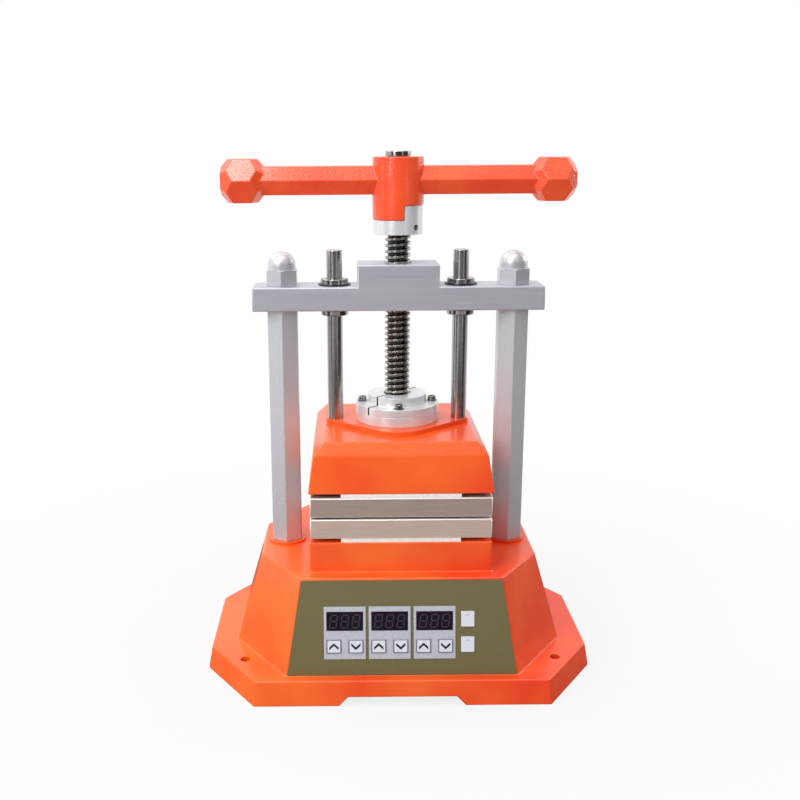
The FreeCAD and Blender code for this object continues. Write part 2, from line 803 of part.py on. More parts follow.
# Crossbeam: T-shaped plate, bored for the columns, the guide bearings and the screw's nut
beam_sketch = doc.addObject("Sketcher::SketchObject", "beam_outline")
draw(beam_sketch, [
    (-S.beam_half_length, S.beam_underside), (S.beam_half_length, S.beam_underside),
    (S.beam_half_length, beam_top), (S.beam_boss_half_length, beam_top),
    (S.beam_boss_half_length, boss_top), (-S.beam_boss_half_length, boss_top),
    (-S.beam_boss_half_length, beam_top), (-S.beam_half_length, beam_top)])
beam_sketch.Placement = FreeCAD.Placement(FreeCAD.Vector(), FreeCAD.Rotation(X_AXIS, 90.0))
beam_blank = doc.addObject("Part::Extrusion", "beam_blank")
beam_blank.Base = beam_sketch
beam_blank.DirMode = "Normal"
beam_blank.Solid = True
bind(beam_blank, LengthFwd=S.beam_half_depth, LengthRev=S.beam_half_depth)
doc.recompute()


def is_outer(edge):
    """True for every edge of the blank but the two hollow ones beside the boss."""
    box = edge.BoundBox
    level = abs(box.ZMin - beam_top.value) < 0.01 and box.ZLength < 0.01
    return not (level and box.XLength < 0.01 and abs(box.XMin) < S.beam_half_length.value - 1)


beam_body = doc.addObject("Part::Chamfer", "beam_body")
beam_body.Base = beam_blank
beam_body.Edges = [(number, S.beam_edge.value, S.beam_edge.value)
                   for number, edge in enumerate(beam_blank.Shape.Edges, start=1)
                   if is_outer(edge)]
column_bores = [rod("column_bore", spigot_hole, S.beam_thickness, x, 0, S.beam_underside)
                for x in (-S.column_half_spacing, S.column_half_spacing)]
bearing_bores = [rod("bearing_bore", S.bearing_radius, S.beam_thickness, x, 0, S.beam_underside)
                 for x in (-S.rod_half_spacing, S.rod_half_spacing)]
nut_bore = rod("nut_bore", S.nut_radius, S.nut_length, 0, 0, S.beam_underside)
screw_passage = rod("screw_passage", S.screw_radius + S.collar_bore_gap,
                    S.beam_thickness + S.beam_boss_rise, 0, 0, S.beam_underside)
keep("crossbeam", cut("crossbeam", beam_body, nut_bore, screw_passage,
                      *column_bores, *bearing_bores))

# Bronze nut of the lead screw, pressed up against a shoulder inside the boss
nut_outside = rod("nut_outside", S.nut_radius, S.nut_length, 0, 0, S.beam_underside)
nut_inside = rod("nut_inside", S.screw_radius + S.screw_clearance, S.nut_length,
                 0, 0, S.beam_underside)
keep("lead_screw_nut", cut("lead_screw_nut", nut_outside, nut_inside))

# Guide bearings: sleeves held in the beam by two snap rings each
bearing_z = S.beam_underside + S.beam_thickness / 2 - S.bearing_length / 2
snap_rings = []
bearings = []
for x in (-S.rod_half_spacing, S.rod_half_spacing):
    sleeve = rod("bearing_sleeve", S.bearing_radius, S.bearing_length, x, 0, bearing_z)
    race = rod("bearing_race", S.rod_radius + S.rod_clearance, S.bearing_length, x, 0, bearing_z)
    bearings.append(cut("bored_bearing", sleeve, race))
    for z in (S.beam_underside - S.snap_ring_thickness, beam_top):
        outer = rod("ring_outer", S.bearing_radius + S.snap_ring_width,
                    S.snap_ring_thickness, x, 0, z)
        inner = rod("ring_inner", S.bearing_radius, S.snap_ring_thickness, x, 0, z)
        opening = block("ring_opening", S.snap_ring_opening, 2 * S.bearing_radius,
                        S.snap_ring_thickness, x, S.bearing_radius, z)
        snap_rings.append(cut("snap_ring", outer, inner, opening))
keep("guide_bearings", group("guide_bearings", bearings))
keep("bearing_snap_rings", group("bearing_snap_rings", snap_rings))


def platen(name, z, back_up):
    """Heated plate with a pocket in its back, sunk screw holes and a probe hole."""
    size = 2 * S.platen_half_width
    plate = block(f"{name}_plate", size, size, S.platen_thickness, 0, 0, z)
    doc.recompute()
    edges = doc.addObject("Part::Chamfer", f"{name}_edges")
    edges.Base = plate
    edges.Edges = [(number, S.platen_edge.value, S.platen_edge.value)
                   for number in range(1, len(plate.Shape.Edges) + 1)]
    pocket_depth = S.heater_thickness + S.heater_gap
    pocket_z = z + S.platen_thickness - pocket_depth if back_up else z
    pocket = block("heater_pocket", 2 * (S.heater_half_width + S.heater_gap),
                   2 * (S.heater_half_depth + S.heater_gap), pocket_depth, 0, 0, pocket_z)
    sink = S.platen_head_height + S.head_sink
    sink_z = z if back_up else z + S.platen_thickness - sink
    holes = four(lambda x, y: rod("plate_hole", S.platen_screw_radius + S.screw_slack,
                                  S.platen_thickness, x, y, z),
                 S.platen_screw_x, S.platen_screw_y)
    sinks = four(lambda x, y: rod("plate_sink", S.platen_head_radius + S.screw_slack,
                                  sink, x, y, sink_z),
                 S.platen_screw_x, S.platen_screw_y)
    probe_hole = rod("probe_hole", S.probe_radius + S.screw_fit, S.probe_depth, S.probe_x,
                     S.platen_half_width - S.probe_depth, z + S.platen_thickness / 2, "y")
    keep(name, cut(name, edges, pocket, probe_hole, *holes, *sinks))


def insulation(name, z):
    """Heat-resistant board with holes for the platen's screws."""
    board = block(f"{name}_plate", 2 * S.board_half_width, 2 * S.board_half_depth,
                  S.board_thickness, 0, 0, z)
    holes = four(lambda x, y: rod("board_hole", S.platen_screw_radius + S.screw_slack,
                                  S.board_thickness, x, y, z),
                 S.platen_screw_x, S.platen_screw_y)
    keep(name, cut(name, board, *holes))


def platen_screws(name, screw_name, head_z, shank_z, length):
    """Four socket screws sunk in a platen's working face."""

    def screw(x, y):
        head = rod("platen_head", S.platen_head_radius, S.platen_head_height, x, y, head_z)
        shank = rod("platen_shank", S.platen_screw_radius, length, x, y, shank_z)
        return fuse(screw_name, head, shank)

    keep(name, group(name, four(screw, S.platen_screw_x, S.platen_screw_y)))


def heater_and_probe(side, heater_z, z):
    """Flat heater, and a temperature probe pushed into the platen from the rear."""
    keep(f"{side}_heater", block(f"{side}_heater", 2 * S.heater_half_width,
                                 2 * S.heater_half_depth, S.heater_thickness, 0, 0, heater_z))
    keep(f"{side}_temperature_probe", rod(
        f"{side}_temperature_probe", S.probe_radius,
        S.probe_depth - S.probe_end_gap + S.probe_tail, S.probe_x,
        S.platen_half_width - S.probe_depth + S.probe_end_gap, z, "y"))


# Heated platens: each has its insulation board, heater, probe and four screws
head_depth = S.head_sink + S.platen_head_height
grip = S.platen_thickness - head_depth + S.board_thickness + S.platen_screw_hold
lower_seat = lower_platen_z + S.platen_thickness - head_depth
insulation("lower_insulation_board", pedestal_top)
platen("lower_platen", lower_platen_z, False)
heater_and_probe("lower", lower_platen_z, lower_platen_z + S.platen_thickness / 2)
platen_screws("lower_platen_screws", "lower_screw", lower_seat, lower_seat - grip, grip)
upper_back = upper_platen_z + S.platen_thickness
upper_seat = upper_platen_z + head_depth
insulation("upper_insulation_board", upper_back)
platen("upper_platen", upper_platen_z, True)
heater_and_probe("upper", upper_back - S.heater_thickness,
                 upper_platen_z + S.platen_thickness / 2)
platen_screws("upper_platen_screws", "upper_screw", upper_seat - S.platen_head_height,
              upper_seat, grip + S.head_plate_thickness)

# Head casting: tapered shell with bevelled shoulders and a raised plateau on top
shoulder_z = head_underside + S.shoulder_rise
head_walls = frustum("head_walls", head_underside,
                     rectangle(S.head_half_width, S.head_half_depth), shoulder_z,
                     rectangle(S.shoulder_half_width, S.shoulder_half_depth))
head_bevels = frustum("head_bevels", shoulder_z,
                      rectangle(S.shoulder_half_width, S.shoulder_half_depth), head_top,
                      rectangle(S.head_top_half_width, S.head_top_half_depth))
plateau_sketch = doc.addObject("Sketcher::SketchObject", "plateau_outline")
place(draw(plateau_sketch, [
    (S.plateau_half_width, S.plateau_end), (0, S.plateau_tip),
    (-S.plateau_half_width, S.plateau_end), (-S.plateau_half_width, -S.plateau_end),
    (0, -S.plateau_tip), (S.plateau_half_width, -S.plateau_end)]), 0, 0, head_top)
plateau_blank = doc.addObject("Part::Extrusion", "plateau_blank")
plateau_blank.Base = plateau_sketch
plateau_blank.DirMode = "Normal"
plateau_blank.Solid = True
bind(plateau_blank, LengthFwd=S.plateau_rise)
doc.recompute()
plateau = doc.addObject("Part::Fillet", "plateau")
plateau.Base = plateau_blank
plateau.Edges = [(number, S.plateau_round.value, S.plateau_round.value)
                 for number, edge in enumerate(plateau_blank.Shape.Edges, start=1)
                 if edge.BoundBox.ZLength > 0.01 and abs(edge.CenterOfMass.x) < 0.01]
ceiling = head_top - S.head_roof
width_taper = (S.head_half_width - S.shoulder_half_width) / S.shoulder_rise
depth_taper = (S.head_half_depth - S.shoulder_half_depth) / S.shoulder_rise
inner_width = S.head_half_width - S.head_wall
inner_depth = S.head_half_depth - S.head_wall
hollow_rise = ceiling - head_underside
head_hollow = frustum("head_hollow", head_underside, rectangle(inner_width, inner_depth),
                      ceiling, rectangle(inner_width - hollow_rise * width_taper,
                                         inner_depth - hollow_rise * depth_taper))
plate_top = head_underside + S.head_plate_thickness
post_height = ceiling - plate_top
head_posts = four(lambda x, y: rod("head_post", S.head_post_radius, post_height, x, y,
                                   plate_top),
                  S.platen_screw_x, S.platen_screw_y)
thrust_post = rod("thrust_post", S.collar_boss_radius, post_height, 0, 0, plate_top)
rod_boss_z = ceiling - S.rod_boss_depth
rod_bosses = [rod("rod_boss", S.rod_boss_radius, S.rod_boss_depth, x, 0, rod_boss_z)
              for x in (-S.rod_half_spacing, S.rod_half_spacing)]
rod_holes = [rod("rod_hole", S.rod_radius + S.rod_clearance, plateau_top - rod_boss_z,
                 x, 0, rod_boss_z)
             for x in (-S.rod_half_spacing, S.rod_half_spacing)]
head_taps = four(
    lambda x, y: rod("head_tap", platen_tap, S.platen_screw_hold + 1, x, y, plate_top),
    S.platen_screw_x, S.platen_screw_y)


def around_collar(name, radius, height, z):
    """Four upright cylinders on the collar's screw circle."""
    circle = S.collar_screw_circle
    return [rod(name, radius, height, x, y, z)
            for x, y in ((circle, 0), (0, circle), (-circle, 0), (0, -circle))]


collar_taps = around_collar("collar_tap", S.collar_screw_radius + S.screw_fit,
                            S.collar_screw_hold + 1, plateau_top - S.collar_screw_hold - 1)
head_gland_hole = on_head_rear(group("head_gland_hole", [
    rod("head_gland_bore", S.gland_thread_radius + S.cutout_gap, 4 * S.head_wall,
        0, -2 * S.head_wall, -S.head_gland_down, "y")]))
hollow_head = cut("hollow_head", fuse("head_outside", head_walls, head_bevels, plateau),
                  head_hollow)
head_solid = fuse("head_solid", hollow_head, thrust_post, *head_posts, *rod_bosses)
keep("head_casting", cut("head_casting", head_solid, head_gland_hole,
                         *rod_holes, *head_taps, *collar_taps))

# Steel plate that closes the head's underside and carries the insulation board
closing_plate = block(
    "closing_plate",
    2 * (inner_width - width_taper * S.head_plate_thickness - S.head_plate_gap),
    2 * (inner_depth - depth_taper * S.head_plate_thickness - S.head_plate_gap),
    S.head_plate_thickness, 0, 0, head_underside)
closing_holes = four(
    lambda x, y: rod("closing_hole", S.platen_screw_radius + S.screw_slack,
                     S.head_plate_thickness, x, y, head_underside),
    S.platen_screw_x, S.platen_screw_y)
keep("head_closing_plate", cut("head_closing_plate", closing_plate, *closing_holes))

# Guide rods, each fixed in the head by a nut
rod_nut_z = rod_boss_z - S.rod_nut_height
rod_low = rod_nut_z - S.thread_end
rod_nuts = []
for side, x in (("left", -S.rod_half_spacing), ("right", S.rod_half_spacing)):
    keep(f"{side}_guide_rod", rod(f"{side}_guide_rod", S.rod_radius, S.rod_top - rod_low,
                                  x, 0, rod_low))
    nut = hexagon("rod_nut", S.rod_nut_flats, S.rod_nut_height, x, 0, rod_nut_z)
    hole = rod("rod_nut_hole", S.rod_radius, S.rod_nut_height, x, 0, rod_nut_z)
    rod_nuts.append(cut("bored_rod_nut", nut, hole))
keep("guide_rod_nuts", group("guide_rod_nuts", rod_nuts))

# Thrust collar: base ring with a ball bearing, under a flange in two halves that
# closes over the foot of the lead screw and lifts the head with it
pocket_z = plateau_top + S.collar_floor
base_ring = rod("base_ring", S.collar_radius, S.collar_base_height, 0, 0, plateau_top)
bearing_pocket = rod("bearing_pocket", S.thrust_outer_radius + S.cutout_gap,
                     S.collar_base_height, 0, 0, pocket_z)
base_ring_holes = around_collar("base_ring_hole", S.collar_screw_radius + S.screw_slack,
                                S.collar_base_height, plateau_top)
keep("thrust_base_ring", cut("thrust_base_ring", base_ring, bearing_pocket, *base_ring_holes))
cage_z = pocket_z + S.thrust_washer_thickness
washer_outside = rod("thrust_washer_outside", S.thrust_outer_radius,
                     S.thrust_washer_thickness, 0, 0, pocket_z)
washer_inside = rod("thrust_washer_inside", S.journal_radius + S.washer_play,
                    S.thrust_washer_thickness, 0, 0, pocket_z)
keep("thrust_washer", cut("thrust_washer", washer_outside, washer_inside))
cage_outside = rod("cage_outside", S.thrust_cage_radius, S.thrust_cage_thickness, 0, 0, cage_z)
cage_inside = rod("cage_inside", S.thrust_cage_bore, S.thrust_cage_thickness, 0, 0, cage_z)
keep("thrust_ball_cage", cut("thrust_ball_cage", cage_outside, cage_inside))

for name, turn in (("thrust_collar_front", 0), ("thrust_collar_rear", 180)):
    flange_ring = rod("collar_flange", S.collar_radius, S.collar_flange_height,
                      0, 0, collar_base_top)
    collar_boss = rod("collar_boss", S.collar_boss_radius, S.collar_boss_rise,
                      0, 0, collar_flange_top)
    recess = rod("foot_recess", S.foot_radius + S.collar_recess_gap,
                 S.collar_flange_height + S.foot_play, 0, 0, collar_base_top)
    bore = rod("collar_bore", S.screw_radius + S.collar_bore_gap,
               S.collar_flange_height + S.collar_boss_rise, 0, 0, collar_base_top)
    screw_holes = around_collar("collar_hole", S.collar_screw_radius + S.screw_slack,
                                S.collar_flange_height, collar_base_top)
    half_box = block("collar_half_box", 4 * S.collar_radius, 2 * S.collar_radius,
                     4 * S.collar_flange_height, 0, -S.collar_radius - S.collar_split / 2,
                     collar_base_top)
    half = place(group("collar_half", [half_box]), 0, 0, 0, Z_AXIS, S.collar_split_angle + turn)
    whole = cut("collar_whole", fuse("collar_blank", flange_ring, collar_boss),
                recess, bore, *screw_holes)
    keep(name, common(name, whole, half))
heads = around_collar("collar_head", S.collar_head_radius, S.collar_head_height,
                      collar_flange_top)
shanks = around_collar("collar_shank", S.collar_screw_radius,
                       S.collar_flange_height + S.collar_base_height + S.collar_screw_hold,
                       plateau_top - S.collar_screw_hold)
keep("collar_screws", group("collar_screws",
                            [fuse("collar_screw", *pair) for pair in zip(heads, shanks)]))

# Lead screw: pilot and foot below, threaded length, plain journal for sleeve and handle
foot_top = collar_flange_top
foot_low = cage_z + S.thrust_cage_thickness + S.washer_play
thread_low = foot_top + S.screw_neck_length
journal_top = hub_top + S.retainer_gap
screw = body("lead_screw")
turned(screw, "screw_turning", [
    (0, pocket_z + S.foot_play), (S.pilot_radius, pocket_z + S.foot_play),
    (S.pilot_radius, foot_low), (S.foot_radius, foot_low), (S.foot_radius, foot_top),
    (S.screw_neck_radius, foot_top), (S.screw_neck_radius, thread_low),
    (S.screw_radius, thread_low), (S.screw_radius, S.sleeve_bottom),
    (S.journal_radius, S.sleeve_bottom), (S.journal_radius, journal_top),
    (retainer_tap, journal_top), (retainer_tap, journal_top - S.retainer_screw_length),
    (0, journal_top - S.retainer_screw_length)])
keep("lead_screw", screw)

# Clutch sleeve: ring pinned to the journal, with one jaw that the handle's jaw strikes
ring = rod("sleeve_ring", S.sleeve_radius, S.sleeve_height, 0, 0, S.sleeve_bottom)
jaw = place(rod("sleeve_jaw", S.sleeve_radius, S.sleeve_height + S.jaw_height,
                angle=S.sleeve_jaw_angle), 0, 0, S.sleeve_bottom, Z_AXIS, S.jaw_start_angle)
sleeve_bore = rod("sleeve_bore", S.journal_radius, S.sleeve_height + S.jaw_height,
                  0, 0, S.sleeve_bottom)
pin_z = S.sleeve_bottom + S.sleeve_height / 2
pin_hole = place(group("pin_hole", [
    rod("pin_drill", S.sleeve_pin_radius + S.screw_fit, S.sleeve_radius + 1, along="x")]),
    0, 0, pin_z, Z_AXIS, S.sleeve_pin_angle)
keep("clutch_sleeve", cut("clutch_sleeve", fuse("sleeve_blank", ring, jaw),
                          sleeve_bore, pin_hole))
pin_length = S.sleeve_radius - S.journal_radius - S.sleeve_pin_sink - S.sleeve_pin_end_gap
keep("sleeve_pin", place(group("sleeve_pin", [
    rod("pin_bar", S.sleeve_pin_radius, pin_length,
        S.journal_radius + S.sleeve_pin_end_gap, along="x")]),
    0, 0, pin_z, Z_AXIS, S.sleeve_pin_angle))

# Handle: one casting of hub, two hexagonal bars and two bevelled hexagonal knobs
swell = S.hub_radius + S.hub_swell
lower_hub = taper("lower_hub", S.hub_radius, swell, bar_z - hub_bottom, 0, 0, hub_bottom)
upper_hub = taper("upper_hub", swell, S.hub_radius, hub_top - bar_z, 0, 0, bar_z)


def lying_hexagon(name, flats, length, x):
    """Hexagonal bar along X, with flats above and below."""
    item = doc.addObject("Part::Prism", name)
    item.Polygon = 6
    bind(item, Circumradius=as_size(flats) / math.sqrt(3), Height=length)
    turn = FreeCAD.Rotation(Y_AXIS, 90.0).multiply(FreeCAD.Rotation(Z_AXIS, 90.0))
    item.Placement = FreeCAD.Placement(FreeCAD.Vector(), turn)
    return place(item, x, 0, bar_z)


def knob(low_x):
    """Hexagonal knob whose long edges are bevelled flat at both ends."""
    blank = lying_hexagon("knob_blank", S.knob_flats, S.knob_length, low_x)
    corner = S.knob_flats / math.sqrt(3)
    stations = [(0, corner - S.knob_bevel), (S.knob_bevel, corner),
                (S.knob_length - S.knob_bevel, corner), (S.knob_length, corner - S.knob_bevel)]
    sections = []
    for along, half_flats in stations:
        section = doc.addObject("Part::RegularPolygon", "knob_section")
        section.Polygon = 6
        bind(section, Circumradius=half_flats * (2 / math.sqrt(3)))
        section.Placement = FreeCAD.Placement(FreeCAD.Vector(), FreeCAD.Rotation(Y_AXIS, 90.0))
        sections.append(place(section, low_x + along, 0, bar_z))
    envelope = doc.addObject("Part::Loft", "knob_envelope")
    envelope.Sections = sections
    envelope.Solid = True
    envelope.Ruled = True
    return common("knob", blank, envelope)


handle_bar = lying_hexagon("handle_bar", S.bar_flats, 2 * S.handle_half_length - S.knob_length,
                           S.knob_length / 2 - S.handle_half_length)
knobs = [knob(-S.handle_half_length), knob(S.handle_half_length - S.knob_length)]
hub_bore = rod("hub_bore", S.journal_radius + S.journal_clearance, S.hub_height, 0, 0,
               hub_bottom)
jaw_room = place(rod("jaw_room", 2 * S.hub_radius, S.jaw_height,
                     angle=360 - S.hub_jaw_angle), 0, 0, hub_bottom, Z_AXIS,
                 S.jaw_start_angle - S.jaw_side_gap_angle)
keep("t_handle", cut("t_handle", fuse("handle_casting", lower_hub, upper_hub,
                                      handle_bar, *knobs), hub_bore, jaw_room))

# Disc and screw that hold the handle on the journal
screw_seat = journal_top + S.retainer_height - S.retainer_head_height
disc = rod("retainer_disc", S.retainer_radius, S.retainer_height, 0, 0, journal_top)
disc_hole = rod("disc_hole", S.retainer_screw_radius + S.screw_slack, S.retainer_height,
                0, 0, journal_top)
disc_sink = rod("disc_sink", S.retainer_head_radius + S.screw_slack, S.retainer_height,
                0, 0, screw_seat)
keep("handle_retainer", cut("handle_retainer", disc, disc_hole, disc_sink))
shank_length = (S.retainer_screw_length + screw_seat - journal_top
                - S.retainer_screw_end_gap)
retainer_shank = rod("retainer_shank", S.retainer_screw_radius, shank_length,
                     0, 0, screw_seat - shank_length)
retainer_head = rod("retainer_head", S.retainer_head_radius,
                    S.retainer_head_height - S.retainer_head_sink, 0, 0, screw_seat)
keep("retainer_screw", fuse("retainer_screw", retainer_shank, retainer_head))

# Panel overlay: trapezoid sheet that covers the tower's sloping front
overlay_sketch = doc.addObject("Sketcher::SketchObject", "overlay_outline")
draw(overlay_sketch, [(S.panel_top_half, -S.panel_top_down),
                      (-S.panel_top_half, -S.panel_top_down),
                      (-S.panel_bottom_half, -S.panel_bottom_down),
                      (S.panel_bottom_half, -S.panel_bottom_down)])
overlay_sketch.Placement = FreeCAD.Placement(FreeCAD.Vector(), FreeCAD.Rotation(X_AXIS, 90.0))
overlay_sheet = doc.addObject("Part::Extrusion", "overlay_sheet")
overlay_sheet.Base = overlay_sketch
overlay_sheet.DirMode = "Normal"
overlay_sheet.Solid = True
bind(overlay_sheet, LengthFwd=S.panel_thickness)
function_holes = [key_hole(name, S.function_key_x, down, S.function_key_width,
                           S.function_key_tall) for name, down in function_keys]
keep("panel_overlay", on_front(cut("panel_overlay", overlay_sheet, *function_holes,
                                   *arrow_holes("overlay_key"),
                                   *display_holes("overlay_display"))))

# Three display plates, each round a display, an up key and a down key
plate_y = -S.panel_thickness - S.plate_thickness / 2
plates = [block("display_plate", S.plate_width, S.plate_thickness, S.plate_tall, x,
                plate_y, -S.plate_down - S.plate_tall / 2) for x in plate_xs]
keep("display_plates", on_front(cut("display_plates", group("plate_sheets", plates),
                                    *arrow_holes("plate_key"),
                                    *display_holes("plate_display"))))
front_y = -S.panel_thickness - S.plate_thickness
display_face = front_y - S.display_proud
displays = [block("display", S.display_width - 2 * S.key_gap, S.circuit_depth - display_face,
                  S.display_tall - 2 * S.key_gap, x, (S.circuit_depth + display_face) / 2,
                  -S.display_down - S.display_tall / 2 + S.key_gap) for x in plate_xs]
keep("display_modules", on_front(group("display_modules", displays)))


def key(name, x, down, width, tall, face_y):
    """Key cap with a flange behind the panel, and a stem towards its switch."""
    top_y = face_y - S.key_proud
    cap = block(f"{name}_cap", width, S.key_stem - top_y, tall, x,
                (S.key_stem + top_y) / 2, -down - tall / 2)
    rim = block(f"{name}_flange", width + 2 * S.key_flange, S.key_flange_thickness,
                tall + 2 * S.key_flange, x, S.key_back_gap + S.key_flange_thickness / 2,
                -down - tall / 2 - S.key_flange)
    keep(name, on_front(fuse(name, cap, rim)))


for name, x in arrow_keys:
    key(name, x, S.key_down, S.key_width, S.key_tall, front_y)
for name, down in function_keys:
    key(name, S.function_key_x, down, S.function_key_width, S.function_key_tall,
        -S.panel_thickness)

# Control board on four posts behind the panel, with a switch under every key
circuit_z = -S.plate_down - S.circuit_tall / 2
circuit = block("circuit", 2 * S.circuit_half_length, S.circuit_thickness, S.circuit_tall,
                window_x, S.circuit_depth + S.circuit_thickness / 2, circuit_z)
switch_y = S.key_stem + S.switch_gap
key_places = [(x, S.key_down) for name, x in arrow_keys]
key_places += [(S.function_key_x, down) for name, down in function_keys]
switches = [block("switch", S.switch_size, S.circuit_depth - switch_y, S.switch_size, x,
                  (S.circuit_depth + switch_y) / 2, -down - S.switch_size / 2)
            for x, down in key_places]
keep("control_board", on_front(fuse("control_board", circuit, *switches)))
post_x = S.circuit_half_length - S.circuit_post_inset
post_zs = (circuit_z + S.circuit_post_inset, circuit_z + S.circuit_tall - S.circuit_post_inset)
circuit_posts = [rod("circuit_post", S.circuit_post_radius, S.circuit_depth - S.base_wall,
                     window_x + side, S.base_wall, z, "y")
                 for side in (-post_x, post_x) for z in post_zs]
keep("control_board_posts", on_front(group("control_board_posts", circuit_posts)))

# Relay board with its transformer, on posts on the bottom cover
board_z = lug_z + S.relay_post_height
relay_sheet = block("relay_sheet", S.relay_board_length, S.relay_board_width,
                    S.circuit_thickness, 0, S.relay_board_y, board_z)
parts_z = board_z + S.circuit_thickness
transformer = block("transformer", S.transformer_length, S.transformer_width,
                    S.transformer_height, -S.relay_board_length / 4, S.relay_board_y, parts_z)
relays = [block("relay", S.relay_length, S.relay_width, S.relay_height,
                S.relay_board_length / 4, S.relay_board_y + step * S.relay_pitch, parts_z)
          for step in (-1, 0, 1)]
keep("relay_board", fuse("relay_board", relay_sheet, transformer, *relays))
relay_post_x = S.relay_board_length / 2 - S.relay_post_radius
relay_post_y = S.relay_board_width / 2 - S.relay_post_radius
relay_posts = four(
    lambda x, y: rod("relay_post", S.relay_post_radius, S.relay_post_height, x,
                     S.relay_board_y + y, lug_z), relay_post_x, relay_post_y)
keep("relay_board_posts", group("relay_board_posts", relay_posts))


# Service plate: sheet steel over the rear window, held by four pan head screws
service_sheet = block("service_sheet", 2 * S.service_half_length, S.service_thickness,
                      S.service_tall, 0, S.service_thickness / 2,
                      -S.service_down - S.service_tall / 2)
plate_openings = [
    plate_opening("inlet_opening", S.inlet_x, S.inlet_body_length, S.inlet_body_width),
    plate_opening("switch_opening", S.rocker_x, S.rocker_body_length, S.rocker_body_width),
    rod("gland_opening", S.gland_thread_radius + S.cutout_gap, S.service_thickness,
        S.gland_x, 0, -S.service_down, "y")]
service_holes = service_corners("service_hole", S.service_screw_radius + S.screw_slack,
                                as_size(0), S.service_thickness)
keep("service_plate", on_rear(cut("service_plate", service_sheet, *plate_openings,
                                  *service_holes)))
service_shanks = service_corners("service_shank", S.service_screw_radius,
                                 -S.service_screw_hold, S.service_thickness)
service_heads = service_corners("service_head", S.service_head_radius, S.service_thickness,
                                S.service_thickness + S.service_head_height)
keep("service_plate_screws", on_rear(group("service_plate_screws", [
    fuse("service_screw", *pair) for pair in zip(service_shanks, service_heads)])))


def rear_box(name, x, length, width, front, depth):
    """Box let into the service plate, from y = front inwards."""
    return block(name, length, depth, width, x, front - depth / 2, -S.service_down - width / 2)


# Mains inlet in the service plate, with three blades in its socket
inlet_flange = rear_box("inlet_flange", S.inlet_x, S.inlet_flange_length, S.inlet_flange_width,
                        S.inlet_flange_thickness, S.inlet_flange_thickness)
inlet_body = rear_box("inlet_body", S.inlet_x, S.inlet_body_length, S.inlet_body_width,
                      as_size(0), S.inlet_body_depth)
inlet_socket = rear_box("inlet_socket", S.inlet_x,
                        S.inlet_body_length - 2 * S.inlet_socket_wall,
                        S.inlet_body_width - 2 * S.inlet_socket_wall,
                        S.inlet_flange_thickness, S.inlet_socket_depth)
blade_y = S.inlet_flange_thickness - S.inlet_socket_depth + S.inlet_blade_length / 2
blades = [block("blade", S.inlet_blade_thickness, S.inlet_blade_length, S.inlet_blade_width,
                S.inlet_x + step * S.inlet_blade_pitch, blade_y,
                lift * S.inlet_blade_thickness - S.service_down - S.inlet_blade_width / 2)
          for step, lift in ((-1, -1), (0, 1), (1, -1))]
keep("power_inlet", on_service_plate(fuse("power_inlet", cut(
    "inlet_shell", fuse("inlet_blank", inlet_flange, inlet_body), inlet_socket), *blades)))

# Power switch: frame with a well, and a rocker on a pin across the well
frame_plate = rear_box("switch_plate", S.rocker_x, S.rocker_frame_length,
                       S.rocker_frame_width, S.rocker_frame_thickness, S.rocker_frame_thickness)
frame_box = rear_box("switch_box", S.rocker_x, S.rocker_body_length, S.rocker_body_width,
                     as_size(0), S.rocker_body_depth)
well_width = S.rocker_body_width - 2 * S.rocker_wall
well = rear_box("switch_well", S.rocker_x, S.rocker_body_length - 2 * S.rocker_wall,
                well_width, S.rocker_frame_thickness, S.rocker_well_depth)
pivot_y = S.rocker_frame_thickness - S.rocker_pivot_depth
pin = rod("switch_pin", S.rocker_pin_radius, well_width, S.rocker_x, pivot_y,
          -S.service_down - well_width / 2)
keep("switch_housing", on_service_plate(fuse("switch_housing", cut(
    "housing_shell", fuse("housing_blank", frame_plate, frame_box), well), pin)))
rocker_sketch = doc.addObject("Sketcher::SketchObject", "rocker_outline")
place(draw(rocker_sketch, [
    (-S.rocker_foot, -S.rocker_drop), (S.rocker_foot, -S.rocker_drop),
    (S.rocker_reach, S.rocker_side_low), (S.rocker_reach, S.rocker_side_high),
    (0, S.rocker_crest), (-S.rocker_reach, S.rocker_side_high),
    (-S.rocker_reach, S.rocker_side_low)]), 0, 0, -S.rocker_width / 2)
rocker_blank = doc.addObject("Part::Extrusion", "rocker_blank")
rocker_blank.Base = rocker_sketch
rocker_blank.DirMode = "Normal"
rocker_blank.Solid = True
bind(rocker_blank, LengthFwd=S.rocker_width)
rocker_bore = rod("rocker_bore", S.rocker_pin_radius + S.rocker_pin_gap, S.rocker_width,
                  0, 0, -S.rocker_width / 2)
tilted_rocker = place(group("tilted_rocker", [cut("bored_rocker", rocker_blank, rocker_bore)]),
                      S.rocker_x, pivot_y, -S.service_down, Z_AXIS, S.rocker_tilt)
keep("power_switch_rocker", on_service_plate(group("power_switch_rocker", [tilted_rocker])))


def gland(name, x, down):
    """Cable gland through a wall, bored for a cord, in that wall's own frame."""
    nut = doc.addObject("Part::Prism", f"{name}_nut")
    nut.Polygon = 6
    bind(nut, Circumradius=S.gland_flats / math.sqrt(3), Height=S.gland_hex_height)
    nut.Placement = FreeCAD.Placement(FreeCAD.Vector(), FreeCAD.Rotation(X_AXIS, -90.0))
    place(nut, x, 0, -down)
    dome = taper(f"{name}_dome", S.gland_dome_radius, S.gland_tip_radius, S.gland_dome_height,
                 x, S.gland_hex_height, -down, "y")
    thread = rod(f"{name}_thread", S.gland_thread_radius, S.gland_thread_length, x,
                 -S.gland_thread_length, -down, "y")
    cord_bore = rod(f"{name}_bore", S.gland_bore_radius,
                    S.gland_thread_length + S.gland_hex_height + S.gland_dome_height, x,
                    -S.gland_thread_length, -down, "y")
    return cut(name, fuse(f"{name}_outside", nut, dome, thread), cord_bore)


